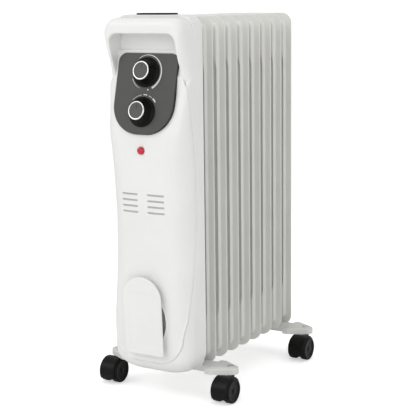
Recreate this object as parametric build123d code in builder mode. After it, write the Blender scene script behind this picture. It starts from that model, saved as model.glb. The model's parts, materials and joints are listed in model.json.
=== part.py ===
from build123d import *
import math
import os

# Oil filled radiator on casters. Millimetres, +Z up, the controls face -Y, X runs across the fins.
# The origin is on the floor, under the middle of the whole heater.

# ---- Radiator fins -------------------------------------------------------------------------
fin_count = 9
fin_pitch = 39.0
fin_width = 145.0
fin_height = 577.5
fin_corner = 20.0
fin_dip = 6.0
sheet = 1.0
seam_width = 10.5
emboss_depth = 5.0
emboss_corner = 11.0
emboss_slope = 1.6
rib_width = 4.5
web_width = 15.0
web_count = 3
header_height = 75.0
web_tip = 16.0
oil_wall = 3.0

# ---- Oil collars, filler and heating element -------------------------------------------------
collar_outer_r = 17.0
collar_bore_r = 14.0
collar_inset = 42.0
filler_r = 13.0
filler_height = 5.0
element_tube_r = 4.0
element_leg_x = 7.5
element_reach = 250.0
flange_across = 38.0
flange_thickness = 7.0
gasket_thickness = 2.0
terminal_r = 2.0
terminal_length = 12.0

# ---- Housing: outline follows the fin with a clearance and one wall ------------------------------
fin_gap = 0.5
shell_wall = 2.5
shell_rear = 2.5
side_reach = 100.0
joint_gap = 0.25
# Stations of the housing's front: height, depth ahead of the first fin's plane, radius of the two
# front corners in plan. Heights are above the housing's bottom in the lower stations, and below its
# top in the upper and handle stations.
lower_stations = [
    (-5.5, 55.0, 27.0),
    (60.5, 59.5, 30.0),
    (115.5, 62.0, 38.0),
    (182.5, 62.5, 48.0),
    (264.5, 63.0, 51.0),
]
upper_stations = [
    (244.0, 65.3, 46.0),
    (212.0, 65.3, 40.0),
    (188.0, 63.0, 30.0),
    (129.0, 47.3, 13.0),
    (111.0, 44.0, 8.0),
]
handle_tops = [
    (92.0, 42.0, 15.0),
    (81.0, 46.5, 17.0),
    (64.0, 53.5, 19.0),
    (39.0, 60.5, 19.0),
    (-6.0, 61.0, 19.0),
]
cover_drop = 95.0
cover_top_depth = 42.0
cover_top_corner = 6.0
cover_shoulder = 14.0
# Side view of the joint between the front cover and the shell: height as above, depth ahead of the fin.
upper_seam = [(117.0, 40.0), (150.0, 37.0), (239.0, 24.0)]
lower_seam = [(254.5, 21.0), (166.5, 29.5), (105.5, 42.0)]
seam_foot_depth = 45.0
rim_rise = 22.0
rim_half_width = 66.0
rim_corner = 44.0
bowl_front_r = 26.0
belly_clear = 1.0
bar_top_round = 9.0

# ---- Carry handle ------------------------------------------------------------------------------
handle_joint_depth = 25.0
bar_depth = 16.0
slot_half_width = 56.0
bar_underside_drop = 29.0
bar_corner = 15.0
ledge_drop = 55.0
pocket_half_width = 62.0
top_drop = 6.0

# ---- Control panel: a thick plate on a plane that leans back -----------------------------------------
panel_lean = 13.8
panel_width = 113.4
panel_height = 130.0
panel_thickness = 7.0
panel_edge = 1.2
panel_top_corner = 15.0
panel_bottom_corner = 48.0
panel_drop = 122.5
panel_gap = 1.0
panel_mid_depth = 52.0

# ---- Knobs ---------------------------------------------------------------------------------------
knob_base_r = 24.0
knob_top_r = 15.0
knob_lift = 0.6
knob_wall = 2.2
knob_hub_r = 5.5
ring_inner_r = 12.5
ring_chamfer = 0.6
knob_skirt = 2.4
knob_waist_r = 19.5
knob_shoulder = 5.0
bush_out = 0.6
shaft_inside = 8.0
control_corner = 2.0
thermostat_body = (40.0, 30.0, 13.0)
switch_body = (34.0, 34.0, 18.0)
ring_height = 2.0
cap_height = 1.4
shaft_r = 3.0
shaft_running = 0.05
bush_r = 5.0
bush_gap = 0.2
bush_hole = 20.0
thermostat_up = 34.0
thermostat_knob_height = 17.5
switch_up = -29.5
switch_knob_height = 17.5

# ---- Indicator, vents and cord hook ------------------------------------------------------------------
lamp_drop = 212.0
lens_r = 6.2
lens_dome = 5.0
lens_neck_r = 4.5
lamp_holder_length = 10.0
lamp_setback = 2.6
slot_length = 31.0
slot_height = 3.4
slot_pitch = 9.6
slot_rows = 4
slot_mid_x = 24.7
slot_drop = 297.5
hook_half_width = 37.0
hook_rise = 36.5
hook_height = 131.0
hook_thickness = 3.2
hook_standoff = 10.0
hook_lean = 2.9
hook_edge = 1.2
neck_width = 44.0
neck_height = 78.0
dish_half_width = 39.0
dish_half_height = 46.0
dish_rise = 93.5
dish_floor_depth = 51.0
hook_screw_up = 22.0
dish_wall = 2.5

# ---- Top vent, heat shield, cord gland and inner parts ----------------------------------------------------
vent_width = 68.0
vent_length = 21.0
vent_rise = 2.6
vent_seat = 3.0
vent_mid_depth = 11.0
vent_bars = 7
vent_bar_pitch = 8.0
vent_gap_width = 3.0
shield_depth = 15.0
shield_thickness = 1.2
shield_rise = 104.5
shield_drop = 73.0
spacer_r = 5.0
screw_r = 2.0
screw_head_r = 4.0
screw_head_height = 2.2
screw_rise = 134.5
screw_drop = 109.0
gland_rise = 66.5
gland_depth = 16.0
gland_bore_r = 4.0
gland_sleeve_r = 6.5
gland_flange_r = 9.5
gland_flange = 3.0
terminal_rise = 179.5
terminal_width = 38.0
terminal_height = 16.0
terminal_depth = 14.0
terminal_pitch = 20.0
cutout_x = -40.0
cutout_r = 9.0
cutout_height = 5.0
wire_r = 1.4
wire_bend = 5.0
wire_lift = 7.0
wire_stub = 10.0
shield_slots = 6
shield_slot_length = 46.0
shield_slot_height = 6.0
shield_slot_pitch = 24.0
shield_corner = 8.0

# ---- Feet and casters -------------------------------------------------------------------------------------
bracket_over_wheel = 13.5
bracket_sheet = 1.5
bracket_rim = 10.0
bracket_clear = 2.5
wing_width = 54.0
wing_root = 2.5
bracket_end_r = 13.0
bracket_border = 4.5
bracket_raise = 1.3
stem_x = 112.0
bolt_wire_r = 2.5
bolt_gap = 0.3
nut_height = 5.0
nut_r = 5.5
wing_span = 22.0
wing_thickness = 2.4
wheel_r = 20.5
wheel_width = 12.0
wheel_mid_x = 11.5
trail = 18.0
hood_r = 23.5
hood_gap = 0.6
hood_half_width = 15.0
hood_edge = 2.0
hood_drop_angle = 28.0
stem_r = 3.5
stem_running = 0.05
stem_collar_r = 6.2
stem_shoulder_r = 5.0
stem_foot_rise = 3.5
stem_head_r = 6.0
stem_head = 1.4
hood_collar_rise = 2.0
axle_r = 2.5
axle_running = 0.05
web_half = 5.0
hub_r = 11.0
wheel_edge = 2.5
wheel_dish_r = 15.5
wheel_dish = 1.4
axle_cover = 2.0

# ---- Sizes worked out from those above --------------------------------------------------------------------
bracket_top_z = 2 * wheel_r + bracket_over_wheel
fin_bottom = bracket_top_z - fin_dip
fin_top = fin_bottom + fin_height
fin_mid_z = fin_bottom + fin_height / 2
fin_half = sheet + emboss_depth
top_header_z = fin_top - collar_inset
bottom_header_z = fin_bottom + collar_inset
lean = math.radians(panel_lean)
knob_reach = switch_knob_height + knob_lift
front_reach = panel_mid_depth - switch_up * math.sin(lean) + knob_reach * math.cos(lean)
front_reach = front_reach + knob_top_r * math.sin(lean)
rear_reach = (fin_count - 1) * fin_pitch + fin_half + filler_height
first_fin_y = (front_reach - rear_reach) / 2
shell_offset = fin_gap + shell_wall
shell_half_width = fin_width / 2 + shell_offset
shell_bottom = fin_bottom - shell_offset
shell_top = fin_top + shell_offset
shell_corner = fin_corner + shell_offset
body_stations = [(shell_bottom + rise, depth, corner) for rise, depth, corner in lower_stations]
body_stations = body_stations + [(shell_top - drop, depth, corner) for drop, depth, corner in upper_stations]
handle_stations = [(shell_top - drop, depth, corner) for drop, depth, corner in handle_tops]
seam_points = [(shell_top - drop, depth) for drop, depth in upper_seam]
seam_points = seam_points + [(shell_bottom + rise, depth) for rise, depth in lower_seam]
belly_depth = max(depth for z, depth, corner in body_stations) + belly_clear
bar_front_depth = handle_stations[-1][1] + belly_clear
cover_top_z = shell_top - cover_drop
rim_bottom_z = shell_bottom + rim_rise
bar_underside_z = shell_top - bar_underside_drop
ledge_z = shell_top - ledge_drop
panel_mid_z = shell_top - panel_drop
panel_seat_half = panel_width / 2 + panel_gap
lamp_z = shell_top - lamp_drop
slot_mid_z = shell_top - slot_drop
hook_bottom_z = shell_bottom + hook_rise
hook_top_z = hook_bottom_z + hook_height
dish_mid_z = shell_bottom + dish_rise
shield_bottom_z = shell_bottom + shield_rise
shield_top_z = shell_top - shield_drop
screw_low_z = shell_bottom + screw_rise
screw_high_z = shell_top - screw_drop
gland_z = shell_bottom + gland_rise
terminal_z = shell_bottom + terminal_rise
stem_foot_z = wheel_r + stem_foot_rise
hood_collar_top = 2 * wheel_r + hood_collar_rise
bracket_width = fin_pitch - 2 * (sheet + bracket_clear)
gap_y = [first_fin_y + fin_pitch / 2, first_fin_y + (fin_count - 1.5) * fin_pitch]


def ahead(depth):
    """Y of a point this far in front of the first fin's middle plane."""
    return first_fin_y - depth


def front_plane(depth, height=0.0):
    """Plane that faces the user, X to the right and its own Y up."""
    return Plane(origin=(0, ahead(depth), height), x_dir=(1, 0, 0), z_dir=(0, -1, 0))


def side_plane(x=0.0):
    """Plane that faces +X: its own X is the depth ahead of the first fin, its own Y the height."""
    return Plane(origin=(x, first_fin_y, 0), x_dir=(0, -1, 0), z_dir=(-1, 0, 0))


def panel_plane(up=0.0, out=0.0):
    """Plane on the leaning face of the panel, up from its middle and out from its surface."""
    y = ahead(panel_mid_depth) + up * math.sin(lean) - out * math.cos(lean)
    z = panel_mid_z + up * math.cos(lean) + out * math.sin(lean)
    return Plane(origin=(0, y, z), x_dir=(1, 0, 0), z_dir=(0, -math.cos(lean), math.sin(lean)))


def front_depth(z, stations):
    """Depth of the housing's front at a height, between the two nearest stations."""
    for low, high in zip(stations, stations[1:]):
        if low[0] <= z <= high[0]:
            share = (z - low[0]) / (high[0] - low[0])
            return low[1] + share * (high[1] - low[1])
    return stations[-1][1]


def finish(part, name):
    """Labels a finished piece and writes it."""
    part.label = name
    export_step(part, f"parts/{name}.step")


os.makedirs("parts", exist_ok=True)

# ============================== Radiator ==============================


web_straight = fin_height - 2 * header_height - 2 * web_tip
web_outline = [
    (-web_width / 2, -web_straight / 2),
    (0, -web_straight / 2 - web_tip),
    (web_width / 2, -web_straight / 2),
    (web_width / 2, web_straight / 2),
    (0, web_straight / 2 + web_tip),
    (-web_width / 2, web_straight / 2),
]
web_span = fin_width - 2 * (seam_width + rib_width) - web_width
web_x = [web_span * (i / (web_count - 1) - 0.5) for i in range(web_count)]


def make_fin(index):
    """Two pressed half sheets welded round their seam, hollow where the oil runs."""
    depth = -index * fin_pitch
    plane = front_plane(depth)
    emboss_width = fin_width - 2 * seam_width
    emboss_height = fin_height - 2 * seam_width
    cavity_inset = seam_width + oil_wall
    with BuildPart() as fin:
        with BuildSketch(plane):
            with Locations((0, fin_mid_z)):
                RectangleRounded(fin_width, fin_height, fin_corner)
        extrude(amount=sheet, both=True)
        with BuildSketch(plane):
            with Locations((0, fin_mid_z)):
                RectangleRounded(emboss_width, emboss_height, emboss_corner)
            with Locations(*[(x, fin_mid_z) for x in web_x]):
                Polygon(*web_outline, align=None, mode=Mode.SUBTRACT)
        extrude(amount=fin_half, both=True)
        outer_faces = fin.faces().filter_by(Axis.Y).sort_by(Axis.Y)
        chamfer(outer_faces[0].edges() + outer_faces[-1].edges(), emboss_slope)
        with BuildSketch(plane):
            header = header_height - seam_width - 2 * oil_wall
            inner_width = fin_width - 2 * cavity_inset
            with Locations((0, fin_top - cavity_inset - header / 2), (0, fin_bottom + cavity_inset + header / 2)):
                RectangleRounded(inner_width, header, emboss_corner - oil_wall)
            channel = web_span / (web_count - 1) - web_width - 2 * oil_wall
            for low, high in zip(web_x, web_x[1:]):
                with Locations(((low + high) / 2, fin_mid_z)):
                    Rectangle(channel, fin_height - 2 * header_height)
        extrude(amount=fin_half - sheet, both=True, mode=Mode.SUBTRACT)
        opens_front = index > 0
        opens_rear = index < fin_count - 1
        for z, front_open in ((top_header_z, opens_front), (bottom_header_z, True)):
            if front_open:
                with BuildSketch(plane):
                    with Locations((0, z)):
                        Circle(collar_bore_r)
                extrude(amount=fin_half, mode=Mode.SUBTRACT)
            if opens_rear:
                with BuildSketch(plane):
                    with Locations((0, z)):
                        Circle(collar_bore_r)
                extrude(amount=-fin_half, mode=Mode.SUBTRACT)
        if not opens_rear:
            with BuildSketch(plane):
                with Locations((0, top_header_z)):
                    Circle(filler_r - filler_height)
            extrude(amount=-fin_half, mode=Mode.SUBTRACT)
    return fin.part


for index in range(fin_count):
    finish(make_fin(index), f"fin_{index + 1}")

with BuildPart() as oil_collars:
    for index in range(fin_count - 1):
        with BuildSketch(front_plane(-index * fin_pitch - fin_half)):
            with Locations((0, top_header_z), (0, bottom_header_z)):
                Circle(collar_outer_r)
                Circle(collar_bore_r, mode=Mode.SUBTRACT)
        extrude(amount=-(fin_pitch - 2 * fin_half))
finish(oil_collars.part, "oil_collars")

last_face_depth = -(fin_count - 1) * fin_pitch - fin_half
with BuildPart() as filler_plug:
    with BuildSketch(front_plane(last_face_depth)):
        with Locations((0, top_header_z)):
            Circle(filler_r)
    extrude(amount=-filler_height)
    fillet(filler_plug.faces().sort_by(Axis.Y)[-1].edges(), filler_height / 3)
    with BuildSketch(front_plane(last_face_depth - filler_height)):
        with Locations((0, top_header_z)):
            RegularPolygon(filler_r / 2, 6)
    extrude(amount=filler_height / 2, mode=Mode.SUBTRACT)
finish(filler_plug.part, "filler_plug")

flange_face_depth = fin_half + gasket_thickness
with BuildPart() as element_gasket:
    with BuildSketch(front_plane(fin_half)):
        with Locations((0, bottom_header_z)):
            Circle(flange_across / 2)
            Circle(collar_bore_r, mode=Mode.SUBTRACT)
    extrude(amount=gasket_thickness)
finish(element_gasket.part, "element_gasket")

with BuildPart() as heating_element:
    with BuildSketch(front_plane(flange_face_depth)):
        with Locations((0, bottom_header_z)):
            RegularPolygon(flange_across / 2, 6, major_radius=False)
    extrude(amount=flange_thickness)
    with BuildLine() as hairpin:
        start = (-element_leg_x, ahead(flange_face_depth), bottom_header_z)
        turn_y = first_fin_y + element_reach
        straight_leg = Line(start, (-element_leg_x, turn_y, bottom_header_z))
        bend = ThreePointArc(
            straight_leg @ 1,
            (0, turn_y + element_leg_x, bottom_header_z),
            (element_leg_x, turn_y, bottom_header_z),
        )
        Line(bend @ 1, (element_leg_x, ahead(flange_face_depth), bottom_header_z))
    with BuildSketch(Plane(origin=start, z_dir=(0, 1, 0))):
        Circle(element_tube_r)
    sweep()
    with BuildSketch(front_plane(flange_face_depth + flange_thickness)):
        with Locations((-element_leg_x, bottom_header_z), (element_leg_x, bottom_header_z)):
            Circle(terminal_r)
    extrude(amount=terminal_length)
finish(heating_element.part, "heating_element")

# ============================== Housing ==============================


def station_loft(stations, inset=0.0):
    """Solid whose plan at each station is a rectangle with two rounded front corners."""
    half = shell_half_width - inset
    rear = first_fin_y + shell_rear + inset
    with BuildPart() as lofted:
        for z, depth, corner in stations:
            front = ahead(depth - inset)
            with BuildSketch(Plane.XY.offset(z)) as plan:
                with BuildLine():
                    Polyline((-half, rear), (-half, front), (half, front), (half, rear), close=True)
                make_face()
                fillet(plan.vertices().group_by(Axis.Y)[0], corner - inset)
        loft(ruled=True)
    return lofted.part


def outline_block(inset=0.0):
    """The housing's outline seen from the front, as a long block."""
    grow = shell_offset - inset
    with BuildPart() as block:
        with BuildSketch(front_plane(-shell_rear - inset)):
            with Locations((0, fin_mid_z)):
                RectangleRounded(fin_width + 2 * grow, fin_height + 2 * grow, fin_corner + grow)
        extrude(amount=2 * side_reach)
    return block.part


def profile_block(inset=0.0):
    """The housing's outline seen from the side: rounded under the chin and over the handle."""
    base = shell_bottom + inset
    top = shell_top - inset
    chin = body_stations[0][1] + 3 * belly_clear - inset
    chin_top = base + 2 * bowl_front_r
    bar_top = shell_top - top_drop - inset
    with BuildPart() as block:
        with BuildSketch(side_plane(-side_reach)):
            with BuildLine():
                FilletPolyline((-shell_corner, base), (chin, base), (chin, chin_top), radius=bowl_front_r - inset)
                Polyline(
                    (chin, chin_top),
                    (belly_depth, base + 3 * bowl_front_r),
                    (belly_depth, cover_top_z - 2 * cover_shoulder),
                    (bar_front_depth, ledge_z - cover_shoulder),
                    (bar_front_depth, bar_top - bar_top_round),
                    (bar_front_depth - bar_top_round, bar_top),
                    (handle_joint_depth, top - 1),
                    (handle_joint_depth - top_drop, top),
                    (-shell_corner, top),
                    (-shell_corner, base),
                )
            make_face()
        extrude(amount=-2 * side_reach)
    return block.part


shell_stations = body_stations + handle_stations
cover_stations = body_stations + [(cover_top_z + 4, cover_top_depth, cover_top_corner)]
shell_outer = station_loft(shell_stations) & outline_block() & profile_block()
shell_inner = station_loft(shell_stations, shell_wall) & outline_block(shell_wall) & profile_block(shell_wall)
cover_outer = station_loft(cover_stations) & outline_block()
cover_inner = station_loft(cover_stations, shell_wall) & outline_block(shell_wall)


def panel_pocket(half, back=0.0):
    """Space in front of the face that the panel is mounted on, half as wide as given, up to the ledge."""
    tall = panel_height + 2 * (panel_gap + back)
    with BuildPart() as pocket:
        with BuildSketch(panel_plane(0, -panel_thickness - back)) as outline:
            Rectangle(2 * half, tall)
            fillet(outline.vertices().group_by(Axis.Y)[0], panel_bottom_corner)
        extrude(amount=side_reach)
    return pocket.part


def cover_zone(grow=0.0):
    """Space in front of the joint line, where the front cover is."""
    seam = [(d - grow, z) for z, d in seam_points]
    top_z = cover_top_z + grow
    with BuildPart() as zone:
        with BuildSketch(side_plane(-side_reach)):
            with BuildLine():
                edge = Spline((seam_foot_depth - grow, rim_corner + rim_bottom_z), *reversed(seam))
                Polyline(
                    edge @ 1,
                    (seam[0][0], top_z),
                    (side_reach, top_z),
                    (side_reach, 0),
                    (seam_foot_depth - grow, 0),
                    edge @ 0,
                )
            make_face()
        extrude(amount=-2 * side_reach)
        with BuildSketch(front_plane(0)) as outline:
            wide = shell_half_width + 5
            rim = rim_half_width + grow
            low = rim_bottom_z - grow
            with BuildLine():
                left_foot = FilletPolyline(
                    (-wide, 200), (-rim, low + rim_corner), (-rim, low), (0, low), radius=[1, rim_corner - 1]
                )
                mirror(left_foot, about=Plane.YZ)
                Polyline(
                    (-wide, 200),
                    (-wide, top_z - cover_shoulder),
                    (-shell_half_width, top_z - cover_shoulder),
                    (-pocket_half_width - 2, top_z),
                    (pocket_half_width + 2, top_z),
                    (shell_half_width, top_z - cover_shoulder),
                    (wide, top_z - cover_shoulder),
                    (wide, 200),
                )
            make_face()
        extrude(amount=side_reach, mode=Mode.INTERSECT)
    behind_panel = panel_pocket(panel_seat_half + shell_wall + grow, shell_wall + grow)
    with BuildPart() as below_top:
        with BuildSketch(Plane.XY.offset(top_z)):
            with Locations((0, first_fin_y)):
                Rectangle(4 * side_reach, 4 * side_reach)
        extrude(amount=-(top_z - cover_top_z + panel_height))
    return zone.part + (behind_panel & below_top.part)


def handle_zone(grow=0.0):
    """Space of the handle moulding: ahead of its joint with the shell and above the cover's shoulder."""
    rear = handle_joint_depth - grow
    low_z = cover_top_z - cover_shoulder
    with BuildPart() as zone:
        with BuildSketch(side_plane(-side_reach)):
            Polygon(
                (rear, fin_top + 30),
                (rear, low_z + 2.5 * cover_shoulder),
                (cover_top_depth - grow, low_z - grow),
                (side_reach, low_z - grow),
                (side_reach, fin_top + 30),
                align=None,
            )
        extrude(amount=-2 * side_reach)
    return zone.part - cover_zone(joint_gap - grow)


def front_opening():
    """Finger room under the handle's bar, over the ledge above the panel."""
    middle = (ledge_z + bar_underside_z) / 2
    height = bar_underside_z - ledge_z
    with BuildPart() as opening:
        with BuildSketch(front_plane(handle_joint_depth - 5)) as outline:
            with Locations((0, middle)):
                Rectangle(2 * pocket_half_width, height)
            fillet(outline.vertices().group_by(Axis.Y)[-1], bar_corner)
        extrude(amount=80)
        with BuildSketch(Plane.XY.offset(ledge_z)):
            slot_length_y = handle_stations[-1][1] - bar_depth - handle_joint_depth + 5
            with Locations((0, ahead(handle_joint_depth - 5 + slot_length_y / 2))):
                RectangleRounded(2 * slot_half_width, slot_length_y, 5)
        extrude(amount=100)
    return opening.part


with BuildPart() as rear_shell:
    add(shell_outer)
    add(shell_inner, mode=Mode.SUBTRACT)
    with BuildSketch(front_plane(handle_joint_depth - shell_wall)):
        with Locations((0, (ledge_z + shell_top) / 2 - shell_wall)):
            Rectangle(2 * shell_half_width, shell_top - ledge_z)
    extrude(amount=shell_wall)
    add(shell_outer, mode=Mode.INTERSECT)
    add(cover_zone(joint_gap), mode=Mode.SUBTRACT)
    add(handle_zone(joint_gap), mode=Mode.SUBTRACT)
    with BuildSketch(Plane.XY.offset(shell_top)):
        with Locations((0, ahead(vent_mid_depth))):
            Rectangle(vent_width - 2 * vent_seat, vent_length - 2 * vent_seat)
    extrude(amount=-2 * shell_wall, mode=Mode.SUBTRACT)
    with BuildSketch(side_plane(-shell_half_width - 1)):
        with Locations((gland_depth, gland_z)):
            Circle(gland_sleeve_r)
    extrude(amount=-2 * shell_wall, mode=Mode.SUBTRACT)
finish(rear_shell.part, "rear_shell")

with BuildPart() as carry_handle:
    add(shell_outer & handle_zone())
    add(panel_pocket(pocket_half_width), mode=Mode.SUBTRACT)
    add(front_opening(), mode=Mode.SUBTRACT)
    with BuildSketch(panel_plane(0, -panel_thickness - shell_wall)):
        Rectangle(4 * panel_width, 4 * panel_height)
    hollow = extrude(amount=-60, mode=Mode.PRIVATE)
    with BuildSketch(Plane.XY.offset(ledge_z - shell_wall)):
        Rectangle(4 * panel_width, 4 * panel_width)
    below_ledge = extrude(amount=-100, mode=Mode.PRIVATE)
    add(hollow & below_ledge & shell_inner, mode=Mode.SUBTRACT)
    with BuildSketch(panel_plane(thermostat_up, 0)):
        Circle(bush_r + bush_gap)
    extrude(amount=-bush_hole, mode=Mode.SUBTRACT)
finish(carry_handle.part, "carry_handle")

vent_rows_z = [slot_mid_z + slot_pitch * (row - (slot_rows - 1) / 2) for row in range(slot_rows)]
with BuildPart() as front_cover:
    add(cover_outer)
    add(cover_inner, mode=Mode.SUBTRACT)
    add(panel_pocket(panel_seat_half + shell_wall, shell_wall))
    with BuildSketch(front_plane(dish_floor_depth - dish_wall, dish_mid_z)):
        Ellipse(dish_half_width + dish_wall, dish_half_height + dish_wall)
    extrude(amount=40)
    add(cover_outer, mode=Mode.INTERSECT)
    add(cover_zone(), mode=Mode.INTERSECT)
    add(panel_pocket(panel_seat_half), mode=Mode.SUBTRACT)
    with BuildSketch(front_plane(dish_floor_depth, dish_mid_z)):
        Ellipse(dish_half_width, dish_half_height)
    extrude(amount=60, mode=Mode.SUBTRACT)
    with BuildSketch(front_plane(0)):
        with Locations(*[(side * slot_mid_x, z) for side in (-1, 1) for z in vent_rows_z]):
            SlotOverall(slot_length, slot_height)
        with Locations((0, lamp_z)):
            Circle(lens_r + joint_gap)
    extrude(amount=80, mode=Mode.SUBTRACT)
    for up in (switch_up, thermostat_up):
        with BuildSketch(panel_plane(up, 0)):
            Circle(bush_r + bush_gap)
        extrude(amount=-bush_hole, mode=Mode.SUBTRACT)
    with BuildSketch(front_plane(0)):
        with Locations(*[(0, dish_mid_z + side * hook_screw_up) for side in (-1, 1)]):
            Circle(screw_r)
    extrude(amount=80, mode=Mode.SUBTRACT)
finish(front_cover.part, "front_cover")

with BuildPart() as control_panel:
    with BuildSketch(panel_plane(0, -panel_thickness)) as plate:
        Rectangle(panel_width, panel_height)
        fillet(plate.vertices().group_by(Axis.Y)[-1], panel_top_corner)
        fillet(plate.vertices().group_by(Axis.Y)[0], panel_bottom_corner)
    extrude(amount=panel_thickness)
    front_face = control_panel.faces().sort_by(Axis(panel_plane().origin, panel_plane().z_dir))[-1]
    fillet(front_face.edges(), panel_edge)
    with BuildSketch(panel_plane(0, 0)):
        with Locations((0, thermostat_up), (0, switch_up)):
            Circle(bush_r + bush_gap)
    extrude(amount=-panel_thickness, mode=Mode.SUBTRACT)
finish(control_panel.part, "control_panel")

with BuildPart() as top_vent:
    with BuildSketch(Plane.XY.offset(shell_top)):
        with Locations((0, ahead(vent_mid_depth))):
            RectangleRounded(vent_width, vent_length, vent_seat)
    extrude(amount=vent_rise)
    fillet(top_vent.faces().sort_by(Axis.Z)[-1].edges(), vent_rise * 0.45)
    with BuildSketch(Plane.XY.offset(shell_top)):
        with Locations((0, ahead(vent_mid_depth))):
            Rectangle(vent_width - 2 * vent_seat - joint_gap, vent_length - 2 * vent_seat - joint_gap)
    extrude(amount=-shell_wall)
    with BuildSketch(Plane.XY.offset(shell_top + vent_rise)):
        with Locations((0, ahead(vent_mid_depth))):
            with GridLocations(vent_bar_pitch, 0, vent_bars, 1):
                Rectangle(vent_gap_width, vent_length - 3 * vent_seat)
    extrude(amount=-(vent_rise + shell_wall), mode=Mode.SUBTRACT)
finish(top_vent.part, "top_vent")


def hook_plane(out=0.0):
    """Plane of the hook's face, which leans forward at its top."""
    tilt = math.radians(hook_lean)
    depth = hook_mid_depth + out
    return Plane(
        origin=(0, ahead(depth), (hook_bottom_z + hook_top_z) / 2),
        x_dir=(1, 0, 0),
        z_dir=(0, -math.cos(tilt), -math.sin(tilt)),
    )


hook_mid_depth = front_depth((hook_bottom_z + hook_top_z) / 2, body_stations) + hook_standoff
with BuildPart() as cord_hook:
    with BuildSketch(hook_plane()) as face:
        half = hook_half_width
        tall = (hook_top_z - hook_bottom_z) / 2
        with BuildLine():
            Polyline((-half, tall - half), (-half, -tall), (half, -tall), (half, tall - half))
            ThreePointArc((half, tall - half), (0, tall), (-half, tall - half))
        make_face()
        fillet(face.vertices().group_by(Axis.Y)[0], 5)
    extrude(amount=-hook_thickness)
    fillet(cord_hook.faces().sort_by(Axis.Y)[0].edges(), hook_edge)
    with BuildSketch(front_plane(dish_floor_depth, dish_mid_z)):
        SlotOverall(neck_height, neck_width, rotation=90)
    extrude(until=Until.NEXT, mode=Mode.ADD)
    with BuildSketch(front_plane(dish_floor_depth, dish_mid_z)):
        with Locations((0, hook_screw_up), (0, -hook_screw_up)):
            Circle(screw_r)
    extrude(amount=screw_r * 5, mode=Mode.SUBTRACT)
finish(cord_hook.part, "cord_hook")

# ============================== Controls ==============================


def section_plane(up, out):
    """Plane through a knob's axis: its X is the radius and its Y runs out of the panel."""
    here = panel_plane(up, out)
    return Plane(origin=here.origin, x_dir=(1, 0, 0), z_dir=(0, -math.sin(lean), -math.cos(lean)))


def make_knob(up, height):
    """Tapered knob on a wide skirt, hollow underneath round its hub."""
    top = height - ring_height
    axis = Axis(panel_plane(up, 0).origin, panel_plane(up, 0).z_dir)
    inner_top = top - knob_wall
    with BuildPart() as knob:
        with BuildSketch(section_plane(up, knob_lift)):
            with BuildLine():
                Polyline((0, 0), (knob_base_r, 0), (knob_base_r, knob_skirt), (knob_waist_r, knob_shoulder))
                Polyline((knob_waist_r, knob_shoulder), (knob_top_r, top), (0, top), (0, 0))
            make_face()
        revolve(axis=axis)
        with BuildSketch(section_plane(up, knob_lift)):
            with BuildLine():
                Polyline(
                    (knob_hub_r, 0),
                    (knob_base_r - knob_wall, 0),
                    (knob_waist_r - knob_wall, knob_shoulder - knob_wall),
                    (knob_top_r - knob_wall, inner_top),
                    (knob_hub_r, inner_top),
                    close=True,
                )
            make_face()
        revolve(axis=axis, mode=Mode.SUBTRACT)
        with BuildSketch(section_plane(up, knob_lift)):
            with BuildLine():
                Polyline((0, 0), (bush_r + bush_gap, 0), (bush_r + bush_gap, bush_out), (shaft_r, bush_out))
                Polyline((shaft_r, bush_out), (shaft_r, inner_top), (0, inner_top), (0, 0))
            make_face()
        revolve(axis=axis, mode=Mode.SUBTRACT)
    return knob.part


def make_ring(up, height):
    """Bright ring round the knob's face."""
    with BuildPart() as ring:
        with BuildSketch(panel_plane(up, knob_lift + height - ring_height)):
            Circle(knob_top_r)
            Circle(ring_inner_r, mode=Mode.SUBTRACT)
        extrude(amount=ring_height)
        outer = ring.faces().sort_by(Axis(panel_plane().origin, panel_plane().z_dir))[-1]
        chamfer(outer.edges(), ring_chamfer)
    return ring.part


def make_cap(up, height):
    """Flat disc that closes the knob inside its ring."""
    with BuildPart() as cap:
        with BuildSketch(panel_plane(up, knob_lift + height - ring_height)):
            Circle(ring_inner_r)
        extrude(amount=cap_height)
    return cap.part


def make_control(up, body):
    """Control body behind the panel wall, with the threaded bush that comes through it."""
    width, tall, deep = body
    wall_back = -panel_thickness - shell_wall
    with BuildPart() as control:
        with BuildSketch(panel_plane(up, wall_back)):
            Rectangle(width, tall)
        extrude(amount=-deep)
        fillet(control.edges().filter_by(Axis(panel_plane().origin, panel_plane().z_dir)), control_corner)
        with BuildSketch(panel_plane(up, wall_back)):
            Circle(bush_r)
        extrude(amount=-wall_back)
        with BuildSketch(panel_plane(up, 0)):
            Circle(shaft_r + shaft_running)
        extrude(amount=wall_back - shaft_inside - shaft_running, mode=Mode.SUBTRACT)
    return control.part


def make_shaft(up, height):
    """Shaft from inside the control up into the knob's hub."""
    inner_top = knob_lift + height - ring_height - knob_wall
    bottom = -panel_thickness - shell_wall - shaft_inside
    with BuildPart() as shaft:
        with BuildSketch(panel_plane(up, bottom)):
            Circle(shaft_r)
        extrude(amount=inner_top - bottom)
    return shaft.part


finish(make_control(thermostat_up, thermostat_body), "thermostat")
finish(make_shaft(thermostat_up, thermostat_knob_height), "thermostat_shaft")
finish(make_knob(thermostat_up, thermostat_knob_height), "thermostat_knob")
finish(make_ring(thermostat_up, thermostat_knob_height), "thermostat_ring")
finish(make_cap(thermostat_up, thermostat_knob_height), "thermostat_cap")
finish(make_control(switch_up, switch_body), "power_switch")
finish(make_shaft(switch_up, switch_knob_height), "switch_shaft")
finish(make_knob(switch_up, switch_knob_height), "switch_knob")
finish(make_ring(switch_up, switch_knob_height), "switch_ring")
finish(make_cap(switch_up, switch_knob_height), "switch_cap")

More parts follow.
